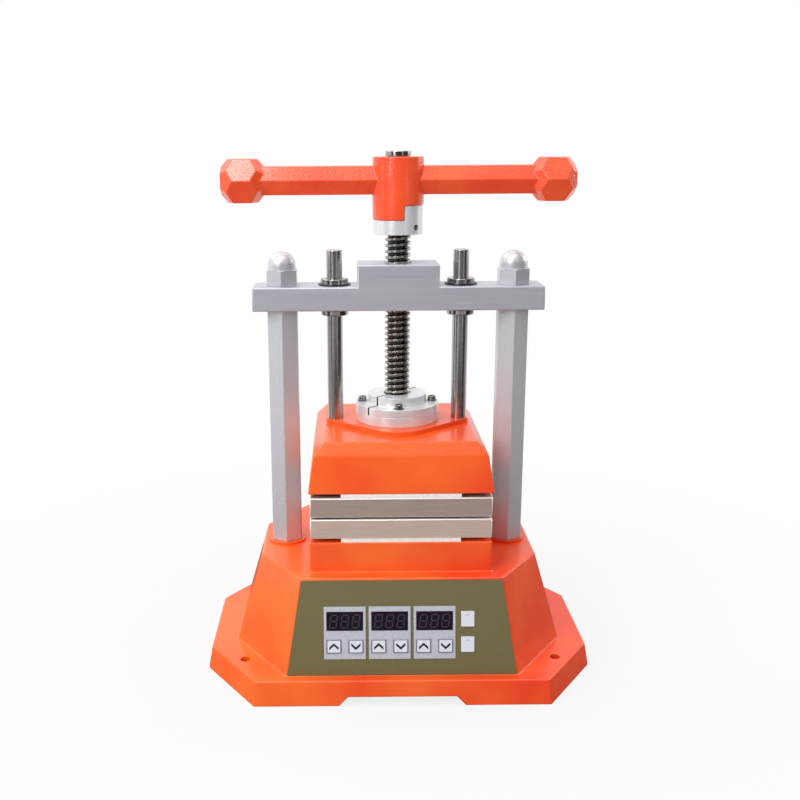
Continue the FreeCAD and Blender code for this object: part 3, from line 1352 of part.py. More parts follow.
keep("base_cable_gland", on_service_plate(gland("base_cable_gland", S.gland_x,
                                                S.service_down)))
keep("head_cable_gland", on_head_rear(gland("head_cable_gland", 0, S.head_gland_down)))

# Check every object, then write one file for each piece
doc.recompute()
faults = [item.Label for item in doc.Objects
          if {"Invalid", "Error"} & set(item.State)]
faults += [label for label, item in nodes.items()
           if item.Shape.isNull() or not item.Shape.isValid() or not item.Shape.Solids]
if faults:
    raise RuntimeError(f"faulty objects: {faults}")
os.makedirs("parts", exist_ok=True)
for label, item in nodes.items():
    item.Shape.exportStep(f"parts/{label}.step")
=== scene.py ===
# Bench press that cures rubber moulds between two heated platens. A cast base carries two
# columns and a crossbeam; a lead screw with a T handle moves the cast head on two rods.
import math

import bmesh
import bpy
from mathutils import Matrix, Vector


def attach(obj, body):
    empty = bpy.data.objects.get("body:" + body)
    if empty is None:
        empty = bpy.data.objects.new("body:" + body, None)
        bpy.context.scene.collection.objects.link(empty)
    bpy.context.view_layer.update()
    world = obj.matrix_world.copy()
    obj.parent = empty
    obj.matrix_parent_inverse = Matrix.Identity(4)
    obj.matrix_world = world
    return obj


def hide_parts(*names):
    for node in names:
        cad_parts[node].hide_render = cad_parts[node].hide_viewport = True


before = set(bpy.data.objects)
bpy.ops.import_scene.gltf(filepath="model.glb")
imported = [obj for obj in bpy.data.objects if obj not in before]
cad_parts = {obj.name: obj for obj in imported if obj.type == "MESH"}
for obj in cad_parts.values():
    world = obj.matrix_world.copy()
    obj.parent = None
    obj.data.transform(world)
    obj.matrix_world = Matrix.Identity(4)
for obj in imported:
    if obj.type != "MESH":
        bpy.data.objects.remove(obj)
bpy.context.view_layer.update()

# Camera: it stands a metre in front of the press, level with the cap nuts, and looks
# down a little on the sloping panel.
camera_place = (-0.051771, -1.017949, 0.534065)
camera_yaw, camera_pitch, camera_roll = 0.002, -0.242, -0.007
camera = bpy.data.objects.new("camera", bpy.data.cameras.new("camera"))
camera.data.sensor_width = 36.0
camera.data.lens = 45.38
camera.data.shift_x = 0.0634
camera.data.shift_y = -0.010
camera.matrix_world = (Matrix.Translation(camera_place)
                       @ Matrix.Rotation(-camera_yaw, 4, "Z")
                       @ Matrix.Rotation(math.pi / 2 + camera_pitch, 4, "X")
                       @ Matrix.Rotation(camera_roll, 4, "Z"))
bpy.context.scene.collection.objects.link(camera)
bpy.context.scene.camera = camera
bpy.context.scene.view_settings.view_transform = "Standard"

# Base casting: one hollow iron casting with flange, tapered tower, deck and pedestal. Its
# edges are rounded as cast, and it is sprayed with glossy orange enamel.


def linear(colour):
    """Linear colour of an sRGB hex value."""
    parts = [int(colour[start:start + 2], 16) / 255 for start in (1, 3, 5)]
    return [part / 12.92 if part <= 0.04045 else ((part + 0.055) / 1.055) ** 2.4
            for part in parts] + [1.0]


def add_node(tree, kind, settings=(), links=()):
    """Add a node, set its inputs, attributes or ramp stops, and link its inputs."""
    node = tree.nodes.new(kind)
    for key, value in dict(settings).items():
        if key == "stops":
            for element, (position, colour) in zip(node.color_ramp.elements, value):
                element.position = position
                element.color = colour
        elif isinstance(key, int) or key in node.inputs:
            node.inputs[key].default_value = value
        else:
            setattr(node, key, value)
    for key, source in dict(links).items():
        tree.links.new(source, node.inputs[key])
    return node


def new_finish(name, **sockets):
    """Material with plain values on its shader, the shader and the object coordinates."""
    finish = bpy.data.materials.new(name)
    finish.use_nodes = True
    tree = finish.node_tree
    shader = tree.nodes["Principled BSDF"]
    for socket, value in sockets.items():
        shader.inputs[socket.replace("_", " ")].default_value = value
    return finish, shader, add_node(tree, "ShaderNodeTexCoord").outputs["Object"]


def grains(size):
    """Texture scale for spots of size millimetres."""
    return 1000 / size


def noise(where, size, detail=2.0, distortion=0.0):
    """Noise with spots of size millimetres, as a factor."""
    return add_node(where.id_data, "ShaderNodeTexNoise",
                    {"Scale": grains(size), "Detail": detail, "Distortion": distortion},
                    {"Vector": where}).outputs["Fac"]


# Texture scale that gives the wave texture one wave a millimetre
wave_scale = 314


def lathe_marks(where, pitch, distortion=0.0, detail=2.0, **pattern):
    """Waves of pitch millimetres up Z, or in another pattern, as a factor."""
    return add_node(where.id_data, "ShaderNodeTexWave",
                    {"bands_direction": "Z", "Scale": wave_scale / pitch,
                     "Distortion": distortion, "Detail": detail, **pattern},
                    {"Vector": where}).outputs["Fac"]


def tint_by(shader, factor, *stops):
    """Colour a shader along a factor, between two stops of position and sRGB hex."""
    tree = shader.id_data
    ramp = add_node(tree, "ShaderNodeValToRGB",
                    {"stops": [(place, linear(colour)) for place, colour in stops]},
                    {"Fac": factor})
    tree.links.new(ramp.outputs["Color"], shader.inputs["Base Color"])


def gloss_by(shader, factor, low, high, top=1.0):
    """Vary a shader's roughness from low to high along a factor that goes up to top."""
    tree = shader.id_data
    spread = add_node(tree, "ShaderNodeMapRange",
                      {"From Max": top, "To Min": low, "To Max": high}, {"Value": factor})
    tree.links.new(spread.outputs["Result"], shader.inputs["Roughness"])


def bump_by(shader, factor, strength, distance):
    """Raise a shader's surface in bumps along a factor."""
    tree = shader.id_data
    bump = add_node(tree, "ShaderNodeBump", {"Strength": strength, "Distance": distance},
                    {"Height": factor})
    tree.links.new(bump.outputs["Normal"], shader.inputs["Normal"])


def merged_copy(node):
    """Copy of a node's mesh with its loose triangles merged into whole faces."""
    bm = bmesh.new()
    bm.from_mesh(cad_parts[node].data)
    bmesh.ops.remove_doubles(bm, verts=bm.verts, dist=1e-6)
    bmesh.ops.dissolve_limit(bm, angle_limit=math.radians(0.5), verts=bm.verts,
                             edges=bm.edges)
    return bm


def round_edges(bm, width, longer_than=0.0, steps=3, sharper_than=30.0, near=None):
    """Round the sharp edges of a mesh by width millimetres."""
    edges = [edge for edge in bm.edges
             if edge.is_manifold and edge.calc_length() > longer_than / 1000
             and edge.calc_face_angle() > math.radians(sharper_than)
             and (near is None or near((edge.verts[0].co + edge.verts[1].co) * 500))]
    bmesh.ops.bevel(bm, geom=edges, offset=width / 1000, segments=steps, profile=0.5,
                    affect="EDGES", clamp_overlap=False)
    return bm


def smooth_mesh(name, bm, finishes, sharper_than=38.0):
    """Object from a mesh, shaded smooth up to its sharp edges."""
    for face in bm.faces:
        face.smooth = True
    for edge in bm.edges:
        edge.smooth = not (edge.is_manifold
                           and edge.calc_face_angle() > math.radians(sharper_than))
    mesh = bpy.data.meshes.new(name)
    bm.to_mesh(mesh)
    bm.free()
    for finish in finishes:
        mesh.materials.append(finish)
    piece = bpy.data.objects.new(name, mesh)
    bpy.context.scene.collection.objects.link(piece)
    weighted = piece.modifiers.new("weighted", "WEIGHTED_NORMAL")
    weighted.keep_sharp = True
    plain = bpy.data.meshes.new_from_object(
        piece.evaluated_get(bpy.context.evaluated_depsgraph_get()))
    piece.modifiers.clear()
    piece.data = plain
    plain.name = name
    return piece


def fit(piece, body, slot, *nodes):
    """Fix a piece on its body, and let it stand for its nodes."""
    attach(piece, body)
    if nodes:
        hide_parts(*nodes)
    return piece


# Enamel sprayed on cast iron: glossy, with orange peel of about 3 mm. It drifts between
# a redder and a yellower orange, and a painted light makes the left side the yellower one
casting_enamel, shader, where = new_finish(
    "casting_enamel", Roughness=0.3, Specular_IOR_Level=0.4, Coat_Weight=0.2,
    Coat_Roughness=0.08)
tree = shader.id_data
drift = noise(where, 70)
split = add_node(tree, "ShaderNodeSeparateXYZ", {}, {"Vector": where})
# Painted light: yellower on the left and redder on the right, as the lamps fall on the casting
painted_light_by_x = add_node(tree, "ShaderNodeMapRange", {"From Min": -0.2, "From Max": 0.2,
                                             "To Min": 0.3, "To Max": -0.3},
                {"Value": split.outputs["X"]})
both = add_node(tree, "ShaderNodeMath", {"operation": "ADD"},
                {0: drift, 1: painted_light_by_x.outputs["Result"]})
tint_by(shader, both.outputs["Value"], (0.2, "#EC4018"), (0.8, "#F86E26"))
peel = noise(where, 3, 1.0)
gloss_by(shader, drift, 0.24, 0.36)
bump_by(shader, peel, 0.25, 0.00006)

base = round_edges(merged_copy("base_casting"), 1.8, longer_than=7)
fit(smooth_mesh("cast_base", base, [casting_enamel]), "frame", "orange_paint",
    "base_casting")

# Bottom cover and its pan head screws: zinc plated sheet, cut away round the bolt bosses.


def paint(finish, *nodes):
    """Give nodes whose shape is right their finish."""
    for node in nodes:
        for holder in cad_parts[node].material_slots:
            holder.material = finish


# Zinc plate: pale grey metal with cloudy patches of about 12 mm and a dull shine
zinc_plate, shader, where = new_finish("zinc_plate", Metallic=0.9, Roughness=0.42)
clouds = noise(where, 12, 3.0)
tint_by(shader, clouds, (0.35, "#9A9CA0"), (0.65, "#B4B6B8"))
paint(zinc_plate, "bottom_cover", "bottom_cover_screws", "service_plate",
      "service_plate_screws", "column_foot_nuts", "guide_rod_nuts", "head_closing_plate")

# Columns: hexagonal steel bars sprayed silver, with a corner to the front. Each has a
# threaded spigot at both ends.

# Silver spray paint: aluminium flake of about 0.8 mm as drawn, finer on the real bar,
# and a satin lacquer
silver_paint, shader, where = new_finish(
    "silver_paint", Metallic=0.4, Coat_Weight=0.2, Coat_Roughness=0.25)
flake = noise(where, 0.8, 1.0)
tint_by(shader, flake, (0.3, "#C3C4CA"), (0.7, "#D6D7DC"))
gloss_by(shader, flake, 0.36, 0.5)
bump_by(shader, flake, 0.12, 0.00003)

for side in ("left", "right"):
    column = round_edges(merged_copy(f"{side}_column"), 0.7, longer_than=6)
    fit(smooth_mesh(f"{side}_column_bar", column, [silver_paint]), "frame",
        "column_steel", f"{side}_column")

# Cap nuts: plated steel, turned dome on a hexagon whose corners are chamfered.

# Satin nickel: pale, soft highlight, faint turning marks of 0.9 mm up the dome
satin_nickel, shader, where = new_finish(
    "satin_nickel", Metallic=0.6, Base_Color=linear("#D0D1D6"))
marks = lathe_marks(where, 0.9, 0.6, 1.0)
gloss_by(shader, marks, 0.36, 0.46)
bump_by(shader, marks, 0.06, 0.00004)

caps = round_edges(merged_copy("cap_nuts"), 0.6, longer_than=4)
fit(smooth_mesh("domed_cap_nuts", caps, [satin_nickel]), "frame", "bright_steel", "cap_nuts")

# Crossbeam: thick T-shaped steel plate, milled all over and sprayed silver like the
# columns, but smoother. It is bored for the columns, bearings and bronze nut.

# Silver paint on milled plate: flat light grey with a lilac cast, faint cutter marks
# 4 mm wide along the beam
beam_paint, shader, where = new_finish(
    "beam_paint", Metallic=0.45, Coat_Weight=0.15, Coat_Roughness=0.3)
tree = shader.id_data
stretch = add_node(tree, "ShaderNodeMapping", {"Scale": (0.05, 1.0, 1.0)}, {"Vector": where})
marks = noise(stretch.outputs["Vector"], 4, 3.0)
tint_by(shader, marks, (0.3, "#B9BAC3"), (0.7, "#C4C5CD"))
gloss_by(shader, marks, 0.4, 0.5)

beam = round_edges(merged_copy("crossbeam"), 0.4, longer_than=9)
fit(smooth_mesh("milled_crossbeam", beam, [beam_paint]), "frame", "beam_steel", "crossbeam")

# Lead screw nut: turned bronze bush pressed in the beam, seen only from below.

# Turned bronze: warm yellow metal with lathe marks of 0.7 mm
turned_bronze, shader, where = new_finish(
    "turned_bronze", Metallic=1.0, Base_Color=linear("#B98E4E"))
marks = lathe_marks(where, 0.7, wave_type="RINGS", rings_direction="Z")
gloss_by(shader, marks, 0.25, 0.4)
paint(turned_bronze, "lead_screw_nut")

# Guide bearings: ground steel sleeves with rounded rims that stand out of the beam above
# and below, each held by a black snap ring at both faces.

# Ground steel: grey and bright, fine rings of 0.6 mm up the sleeve
ground_steel, shader, where = new_finish(
    "ground_steel", Metallic=1.0, Base_Color=linear("#A9A8A6"))
marks = lathe_marks(where, 0.6, 0.4)
gloss_by(shader, marks, 0.13, 0.24)
bearings = round_edges(merged_copy("guide_bearings"), 1.1, sharper_than=50)
fit(smooth_mesh("round_rim_bearings", bearings, [ground_steel]), "frame", "turned_steel",
    "guide_bearings")

# Black oxide: spring steel, near black with an oily sheen and 3 mm blotches
black_oxide, shader, where = new_finish("black_oxide", Metallic=0.6, Roughness=0.4)
clouds = noise(where, 3)
tint_by(shader, clouds, (0.35, "#232322"), (0.65, "#3A3937"))
rings = round_edges(merged_copy("bearing_snap_rings"), 0.2, sharper_than=50, steps=2)
fit(smooth_mesh("snap_rings", rings, [black_oxide]), "frame", "fastener_steel",
    "bearing_snap_rings")

# Lower and upper platen: ground steel plates with bevelled edges, each on a white fibre
# board and held by four socket screws sunk in its working face.

# Brushed steel: grain 0.7 mm thick and some 30 mm long along the plate, brown-grey with
# paler streaks; the warm brown is a painted reflection of the orange castings. The upper
# platen is darker: painted shade of the head above it.
brushed_platen, shader, where = new_finish("brushed_platen", Metallic=0.3)
tree = shader.id_data
stretch = add_node(tree, "ShaderNodeMapping", {"Scale": (0.025, 0.025, 1.0)},
                   {"Vector": where})
streaks = noise(stretch.outputs["Vector"], 0.7, 3.0)
# Painted reflection: the warm brown stops stand for the orange castings seen in the steel
grain_and_reflection_tint = add_node(tree, "ShaderNodeValToRGB",
                {"stops": [(0.25, linear("#CDB3A7")), (0.75, linear("#E0C8BD"))]},
                {"Fac": streaks})
height = add_node(tree, "ShaderNodeSeparateXYZ", {}, {"Vector": where})
# Painted shade: above 178 mm, on the upper platen, the colour falls to 0.68 under the head
painted_head_shade = add_node(tree, "ShaderNodeMapRange", {"From Min": 0.176, "From Max": 0.178,
                                                "To Min": 1.0, "To Max": 0.68},
                   {"Value": height.outputs["Z"]})
shade = add_node(tree, "ShaderNodeVectorMath", {"operation": "SCALE"},
                 {"Vector": grain_and_reflection_tint.outputs["Color"], "Scale": painted_head_shade.outputs["Result"]})
tree.links.new(shade.outputs["Vector"], shader.inputs["Base Color"])
gloss_by(shader, streaks, 0.28, 0.46)
bump_by(shader, streaks, 0.1, 0.00003)

# Milled bevel: bare metal coloured near white, a painted highlight of the light the bevels
# catch, scored every 0.8 mm across the edge
milled_bevel, shader, where = new_finish("milled_bevel", Metallic=0.25, Roughness=0.35)
scores = noise(where, 0.8)
tint_by(shader, scores, (0.3, "#EFE6DF"), (0.7, "#FBF6F1"))
for side, body in (("lower", "frame"), ("upper", "head")):
    plate = merged_copy(f"{side}_platen")
    # The slanted faces, the bevels, take the painted highlight
    for face in plate.faces:
        if max(map(abs, face.normal)) < 0.95 and face.calc_area() > 2e-5:
            face.material_index = 1
    fit(smooth_mesh(f"{side}_heated_platen", plate, [brushed_platen, milled_bevel]), body,
        "platen_aluminium", f"{side}_platen")

# Fibre board: off-white, dead matt, speckled every 1.5 mm, fuzzy where it was sawn
fibre_board, shader, where = new_finish("fibre_board", Roughness=0.9)
speckle = noise(where, 1.5, 4.0)
tint_by(shader, speckle, (0.3, "#DEDAD2"), (0.6, "#EEEBE4"))
bump_by(shader, speckle, 0.3, 0.0001)
paint(fibre_board, "lower_insulation_board", "upper_insulation_board")

# Mica heater: brown sheath over the element, glossy flakes of 5 mm
mica, shader, where = new_finish("mica_heater", Roughness=0.35)
tree = shader.id_data
flakes = add_node(tree, "ShaderNodeTexVoronoi", {"Scale": grains(5)}, {"Vector": where})
tint_by(shader, flakes.outputs["Distance"], (0.1, "#6E5A44"), (0.7, "#8E7658"))
paint(mica, "lower_heater", "upper_heater")
paint(zinc_plate, "lower_temperature_probe", "upper_temperature_probe")

# Moving head: cast iron cap over the upper heater, bevelled to a flat top with a low
# hexagonal plateau for the collar. Same enamel as the base.
head = merged_copy("head_casting")
tip_x, tip_room, tip_slope = 74.0, 0.9, 0.875
head_top, plateau_top = 251.0, 255.5
for vert in head.verts:
    if abs(abs(vert.co.x) * 1000 - tip_x) < 0.01 and vert.co.z * 1000 > head_top - 0.5:
        vert.co.x -= math.copysign(tip_room / 1000, vert.co.x)
        vert.co.y += math.copysign(tip_room * tip_slope / 1000, vert.co.y)
round_edges(head, 1.2, longer_than=7, sharper_than=12,
            near=lambda spot: spot.z < head_top + 0.1 and not (
                abs(spot.x) > 40 and 5 < abs(spot.y) < 40 and spot.z > head_top - 1))
round_edges(head, 0.4, steps=2, near=lambda spot: (
    spot.z > plateau_top - 0.1 and spot.xy.length > 50
    and (abs(spot.x) > 72.2 or abs(spot.y) > 8.5)))
fit(smooth_mesh("cast_head", head, [casting_enamel]), "head", "orange_paint", "head_casting")

# Guide rods: hard chromed shafts fixed in the head, free in the bearings, rounded on top.

# Hard chrome on a ground shaft: mirror-like with faint bands of 1.5 mm round it
hard_chrome, shader, where = new_finish(
    "hard_chrome", Metallic=1.0, Base_Color=linear("#BAB7B5"))
tree = shader.id_data
marks = add_node(tree, "ShaderNodeTexNoise", {"Scale": grains(1.5), "Detail": 2.0},
                 {"Vector": add_node(tree, "ShaderNodeMapping", {"Scale": (0.02, 0.02, 1.0)},
                                     {"Vector": where}).outputs["Vector"]})
gloss_by(shader, marks.outputs["Fac"], 0.2, 0.3)
for side in ("left", "right"):
    shaft = round_edges(merged_copy(f"{side}_guide_rod"), 0.9, sharper_than=50)
    fit(smooth_mesh(f"{side}_chromed_rod", shaft, [hard_chrome]), "head", "bright_steel",
        f"{side}_guide_rod")

# Thrust collar: base ring and a flange split in two halves that close over the screw's
# foot. All three are turned aluminium with chamfered rims.

# Turned aluminium: pale satin, lathe rings 1.1 mm apart on flats and 0.8 mm up the sides
turned_aluminium, shader, where = new_finish(
    "turned_aluminium", Metallic=0.4, Base_Color=linear("#E6E7EA"))
tree = shader.id_data
rings = lathe_marks(where, 1.1, 0.3, wave_type="RINGS", rings_direction="Z")
lines = lathe_marks(where, 0.8, 0.3)
both = add_node(tree, "ShaderNodeMath", {"operation": "ADD"},
                {0: rings, 1: lines})
gloss_by(shader, both.outputs["Value"], 0.22, 0.4, 2.0)
bump_by(shader, both.outputs["Value"], 0.12, 0.00004)

# Seam of the split flange: near black and patchy every 2 mm, a painted shade of the split
greasy_seam, shader, where = new_finish("greasy_seam", Roughness=0.5)
split_mottle = noise(where, 2)
tint_by(shader, split_mottle, (0.3, "#1E1D1C"), (0.7, "#33312F"))
seam_side = Vector((math.sqrt(0.5), -math.sqrt(0.5), 0))
seam_half, seam_opening, seam_line = 0.15, 0.3, 1.1
for node in ("thrust_base_ring", "thrust_collar_front", "thrust_collar_rear"):
    part = merged_copy(node)
    finishes = [turned_aluminium]
    if node != "thrust_base_ring":
        finishes.append(greasy_seam)
        for vert in part.verts:
            across = vert.co.dot(seam_side)
            if abs(abs(across) * 1000 - seam_half) < 0.02:
                vert.co += seam_side * math.copysign(seam_opening / 1000, across)
        # Faces on the split plane take the painted shade of the split
        for face in part.faces:
            middle = abs(face.calc_center_median().dot(seam_side)) * 1000
            if abs(face.normal.dot(seam_side)) > 0.999 and middle < seam_half + 2 * seam_opening:
                face.material_index = 1
    round_edges(part, 0.5, longer_than=1.0, sharper_than=50)
    if node != "thrust_base_ring":
        # Faces within seam_line of the split, the rounded rims beside it, take the painted
        # shade too
        for face in part.faces:
            if all(abs(vert.co.dot(seam_side)) * 1000 < seam_line for vert in face.verts):
                face.material_index = 1
    fit(smooth_mesh(f"turned_{node}", part, finishes), "head", "turned_steel", node)
paint(ground_steel, "thrust_washer", "thrust_ball_cage")

# Socket head screws of the collar, and those sunk in the platens: one turned head with a
# six-sided socket, repeated at every place.


def lathe(bm, profile, sides=48, matrix=Matrix()):
    """Closed solid from rings of (radius, height) millimetres; a third value 6 makes the
    ring a hexagon of that inner radius."""
    rings = []
    for radius, height, *shape in profile:
        ring = []
        for step in range(sides if radius else 1):
            angle = 2 * math.pi * step / sides
            reach = radius
            if shape:
                reach = radius / math.cos((angle + math.pi / 6) % (math.pi / 3) - math.pi / 6)
            point = Vector((reach * math.cos(angle), reach * math.sin(angle), height))
            ring.append(bm.verts.new(matrix @ (point / 1000)))
        rings.append(ring)
    for low, high in zip(rings, rings[1:]):
        for step in range(sides):
            corners = [low[step % len(low)], low[(step + 1) % len(low)],
                       high[(step + 1) % len(high)], high[step % len(high)]]
            corners = [v for place, v in enumerate(corners) if v not in corners[:place]]
            if len(corners) > 2:
                bm.faces.new(corners)
    return bm


def new_tree(name, **kinds):
    """Geometry node tree with named inputs, and its input and output nodes."""
    tree = bpy.data.node_groups.new(name, "GeometryNodeTree")
    for title, kind in kinds.items():
        tree.interface.new_socket(title.replace("_", " "), in_out="INPUT",
                                  socket_type=f"NodeSocket{kind}")
    tree.interface.new_socket("Geometry", in_out="OUTPUT", socket_type="NodeSocketGeometry")
    given = add_node(tree, "NodeGroupInput").outputs
    return tree, given, add_node(tree, "NodeGroupOutput").inputs[0]


def run_tree(tree, mesh, **values):
    """Plain mesh that a tree makes from a mesh and the values of its inputs."""
    carrier = bpy.data.objects.new("carrier", mesh)
    bpy.context.scene.collection.objects.link(carrier)
    modifier = carrier.modifiers.new("nodes", "NODES")
    modifier.node_group = tree
    for item in tree.interface.items_tree:
        if item.in_out == "INPUT" and item.name.replace(" ", "_") in values:
            modifier[item.identifier] = values[item.name.replace(" ", "_")]
    made = bpy.data.meshes.new_from_object(
        carrier.evaluated_get(bpy.context.evaluated_depsgraph_get()))
    bpy.data.objects.remove(carrier)
    return made


# Tree that sets one item on every point of a mesh, turned as the point's turn says
repeat_tree, given, result = new_tree("repeat", Points="Geometry", Item="Object",
                                      Finish="Material")
item = add_node(repeat_tree, "GeometryNodeObjectInfo", links={"Object": given["Item"]})
turn = add_node(repeat_tree, "GeometryNodeInputNamedAttribute",
                {"data_type": "FLOAT_VECTOR", "Name": "turn"})
turned = add_node(repeat_tree, "FunctionNodeEulerToRotation",
                  links={"Euler": turn.outputs["Attribute"]})
spread = add_node(repeat_tree, "GeometryNodeInstanceOnPoints",
                  links={"Points": given["Points"], "Instance": item.outputs["Geometry"],
                         "Rotation": turned.outputs["Rotation"]})
real = add_node(repeat_tree, "GeometryNodeRealizeInstances",
                links={"Geometry": spread.outputs["Instances"]})
coated = add_node(repeat_tree, "GeometryNodeSetMaterial",
                  links={"Geometry": real.outputs["Geometry"], "Material": given["Finish"]})
repeat_tree.links.new(coated.outputs["Geometry"], result)


def repeat(name, bm, spots, finish, sharper_than=38.0):
    """Object that repeats a mesh at spots of (place in millimetres, turn)."""
    points = bpy.data.meshes.new("points")
    points.from_pydata([Vector(place) / 1000 for place, turn in spots], [], [])
    turns = points.attributes.new("turn", "FLOAT_VECTOR", "POINT")
    for value, (place, turn) in zip(turns.data, spots):
        value.vector = turn
    mesh = bpy.data.meshes.new("item")
    bm.to_mesh(mesh)
    bm.free()
    one = bpy.data.objects.new("item", mesh)
    bpy.context.scene.collection.objects.link(one)
    made = run_tree(repeat_tree, points, Item=one, Finish=finish)
    bpy.data.objects.remove(one)
    whole = bmesh.new()
    whole.from_mesh(made)
    return smooth_mesh(name, whole, [finish], sharper_than)


def socket_screw(head_radius, head_height, socket_radius, shank_radius, shank_length,
                 washer_radius=0.0, washer_height=0.0):
    """Mesh of a socket head screw whose head, or the washer under it, stands on z = 0."""
    edge = 0.08 * head_radius
    depth = 0.55 * head_height
    washer = [(washer_radius, 0), (washer_radius, washer_height)] if washer_radius else []
    return lathe(bmesh.new(), [
        (0, -shank_length), (shank_radius, -shank_length), (shank_radius, 0), *washer,
        (head_radius - edge, washer_height), (head_radius, washer_height + edge),
        (head_radius, head_height - edge),
        (head_radius - edge, head_height), (socket_radius * 1.2, head_height),
        (socket_radius, head_height - edge, 6), (socket_radius, head_height - depth, 6),
        (0, head_height - depth - 0.3)])


# Zinc plated screws: brighter than sheet, with 1 mm mottle
screw_zinc, shader, where = new_finish("screw_zinc", Metallic=1.0, Roughness=0.26)
clouds = noise(where, 1)
tint_by(shader, clouds, (0.3, "#7F7C78"), (0.7, "#B2B0AC"))

collar_circle, collar_seat = 36.0, 273.5
collar_spots = [((collar_circle * math.cos(angle), collar_circle * math.sin(angle),
                  collar_seat), (0, 0, 0.4 + angle))
                for angle in (0, math.pi / 2, math.pi, 3 * math.pi / 2)]
collar_screw = socket_screw(4.1, 5.0, 2.1, 2.5, 27.0, 5.2, 0.9)
fit(repeat("collar_socket_screws", collar_screw, collar_spots, screw_zinc), "head",
    "fastener_steel", "collar_screws")
platen_x, platen_y = 45.0, 72.0
for side, body, level, facing in (("lower", "frame", 169.5, 0.0),
                                  ("upper", "head", 184.5, math.pi)):
    spots = [((x, y, level), (facing, 0, 0.1 * x)) for x in (-platen_x, platen_x)
             for y in (-platen_y, platen_y)]
    fit(repeat(f"{side}_socket_screws", socket_screw(5.0, 6.0, 2.5, 3.0, 20.0), spots,
               screw_zinc), body, "fastener_steel", f"{side}_platen_screws")

# Lead screw: trapezoidal thread of 6 mm lead rolled on a 26 mm bar, between a plain foot
# in the collar and a plain journal in the sleeve and handle.
crest, core, lead = 13.0, 10.1, 6.0
thread_low, thread_high = 279.0, 446.0
thread_sides = 72
flank = 0.14
thread_turns = math.ceil((thread_high - thread_low) / lead) + 4

# Rolled thread steel: darker towards the groove bottoms and bright at the crests,
# streaked every 2 mm
thread_steel, shader, where = new_finish("thread_steel", Metallic=1.0)
tree = shader.id_data
split = add_node(tree, "ShaderNodeSeparateXYZ", links={"Vector": where})
flat = add_node(tree, "ShaderNodeCombineXYZ",
                links={"X": split.outputs["X"], "Y": split.outputs["Y"]})
reach = add_node(tree, "ShaderNodeVectorMath", {"operation": "LENGTH"},
                 {0: flat.outputs["Vector"]})
# Darker towards the groove bottoms, bright at the crests
groove_to_crest = add_node(tree, "ShaderNodeMapRange",
                {"From Min": (core + 0.9) / 1000, "From Max": (crest - 0.15) / 1000},
                {"Value": reach.outputs["Value"]})
tint_by(shader, groove_to_crest.outputs["Result"], (0.1, "#4A4541"), (0.95, "#B9B4AE"))
streaks = noise(where, 2, 3.0)
gloss_by(shader, streaks, 0.16, 0.38)

# Tree that bends a flat grid into the thread: across it lies one turn, and every four
# rows are the two groove edges and the two crest edges of the next turn up
thread_tree, given, result = new_tree(
    "thread", Points="Geometry", Crest="Float", Core="Float", Lead="Float", Turns="Int",
    Sides="Int", Flank="Float", Bottom="Float", Finish="Material")


def sum_node(operation, first, second=0.0):
    """Output of one sum in the thread tree; each term is a number or an output."""
    settings, links = {"operation": operation}, {}
    for place, term in enumerate((first, second)):
        (settings if isinstance(term, float) else links)[place] = term
    return add_node(thread_tree, "ShaderNodeMath", settings, links).outputs["Value"]


rows = sum_node("ADD", sum_node("MULTIPLY", given["Turns"], 4.0), 1.0)
columns = sum_node("ADD", given["Sides"], 1.0)
grid = add_node(thread_tree, "GeometryNodeMeshGrid", {"Size X": 1.0, "Size Y": 1.0},
                {"Vertices X": columns, "Vertices Y": rows})
spot = add_node(thread_tree, "ShaderNodeSeparateXYZ", links={
    "Vector": add_node(thread_tree, "GeometryNodeInputPosition").outputs["Position"]})
around = sum_node("ADD", spot.outputs["X"], 0.5)
row = sum_node("ROUND", sum_node("MULTIPLY", sum_node("ADD", spot.outputs["Y"], 0.5),
                                 sum_node("MULTIPLY", given["Turns"], 4.0)))
step = sum_node("MODULO", row, 4.0)
on_crest = sum_node("LESS_THAN", sum_node("ABSOLUTE", sum_node("SUBTRACT", step, 1.5)), 1.0)
half = sum_node("MULTIPLY", sum_node("GREATER_THAN", step, 1.5), 0.5)
climb = sum_node("MULTIPLY", sum_node("MODULO", step, 2.0), given["Flank"])
share = sum_node("ADD", sum_node("ADD", half, climb),
                 sum_node("FLOOR", sum_node("DIVIDE", row, 4.0)))
height = sum_node("ADD", given["Bottom"],
                  sum_node("MULTIPLY", given["Lead"], sum_node("ADD", share, around)))
radius = sum_node("ADD", given["Core"],
                  sum_node("MULTIPLY", on_crest,
                           sum_node("SUBTRACT", given["Crest"], given["Core"])))
angle = sum_node("MULTIPLY", around, 2 * math.pi)
bent = add_node(thread_tree, "ShaderNodeCombineXYZ", links={
    "X": sum_node("MULTIPLY", radius, sum_node("COSINE", angle)),
    "Y": sum_node("MULTIPLY", radius, sum_node("SINE", angle)), "Z": height})
moved = add_node(thread_tree, "GeometryNodeSetPosition", links={
    "Geometry": grid.outputs["Mesh"], "Position": bent.outputs["Vector"]})
joined = add_node(thread_tree, "GeometryNodeMergeByDistance", {"Distance": 0.00001},
                  {"Geometry": moved.outputs["Geometry"]})
real = add_node(thread_tree, "GeometryNodeRealizeInstances",
                links={"Geometry": joined.outputs["Geometry"]})
coated = add_node(thread_tree, "GeometryNodeSetMaterial",
                  links={"Geometry": real.outputs["Geometry"], "Material": given["Finish"]})
thread_tree.links.new(coated.outputs["Geometry"], result)

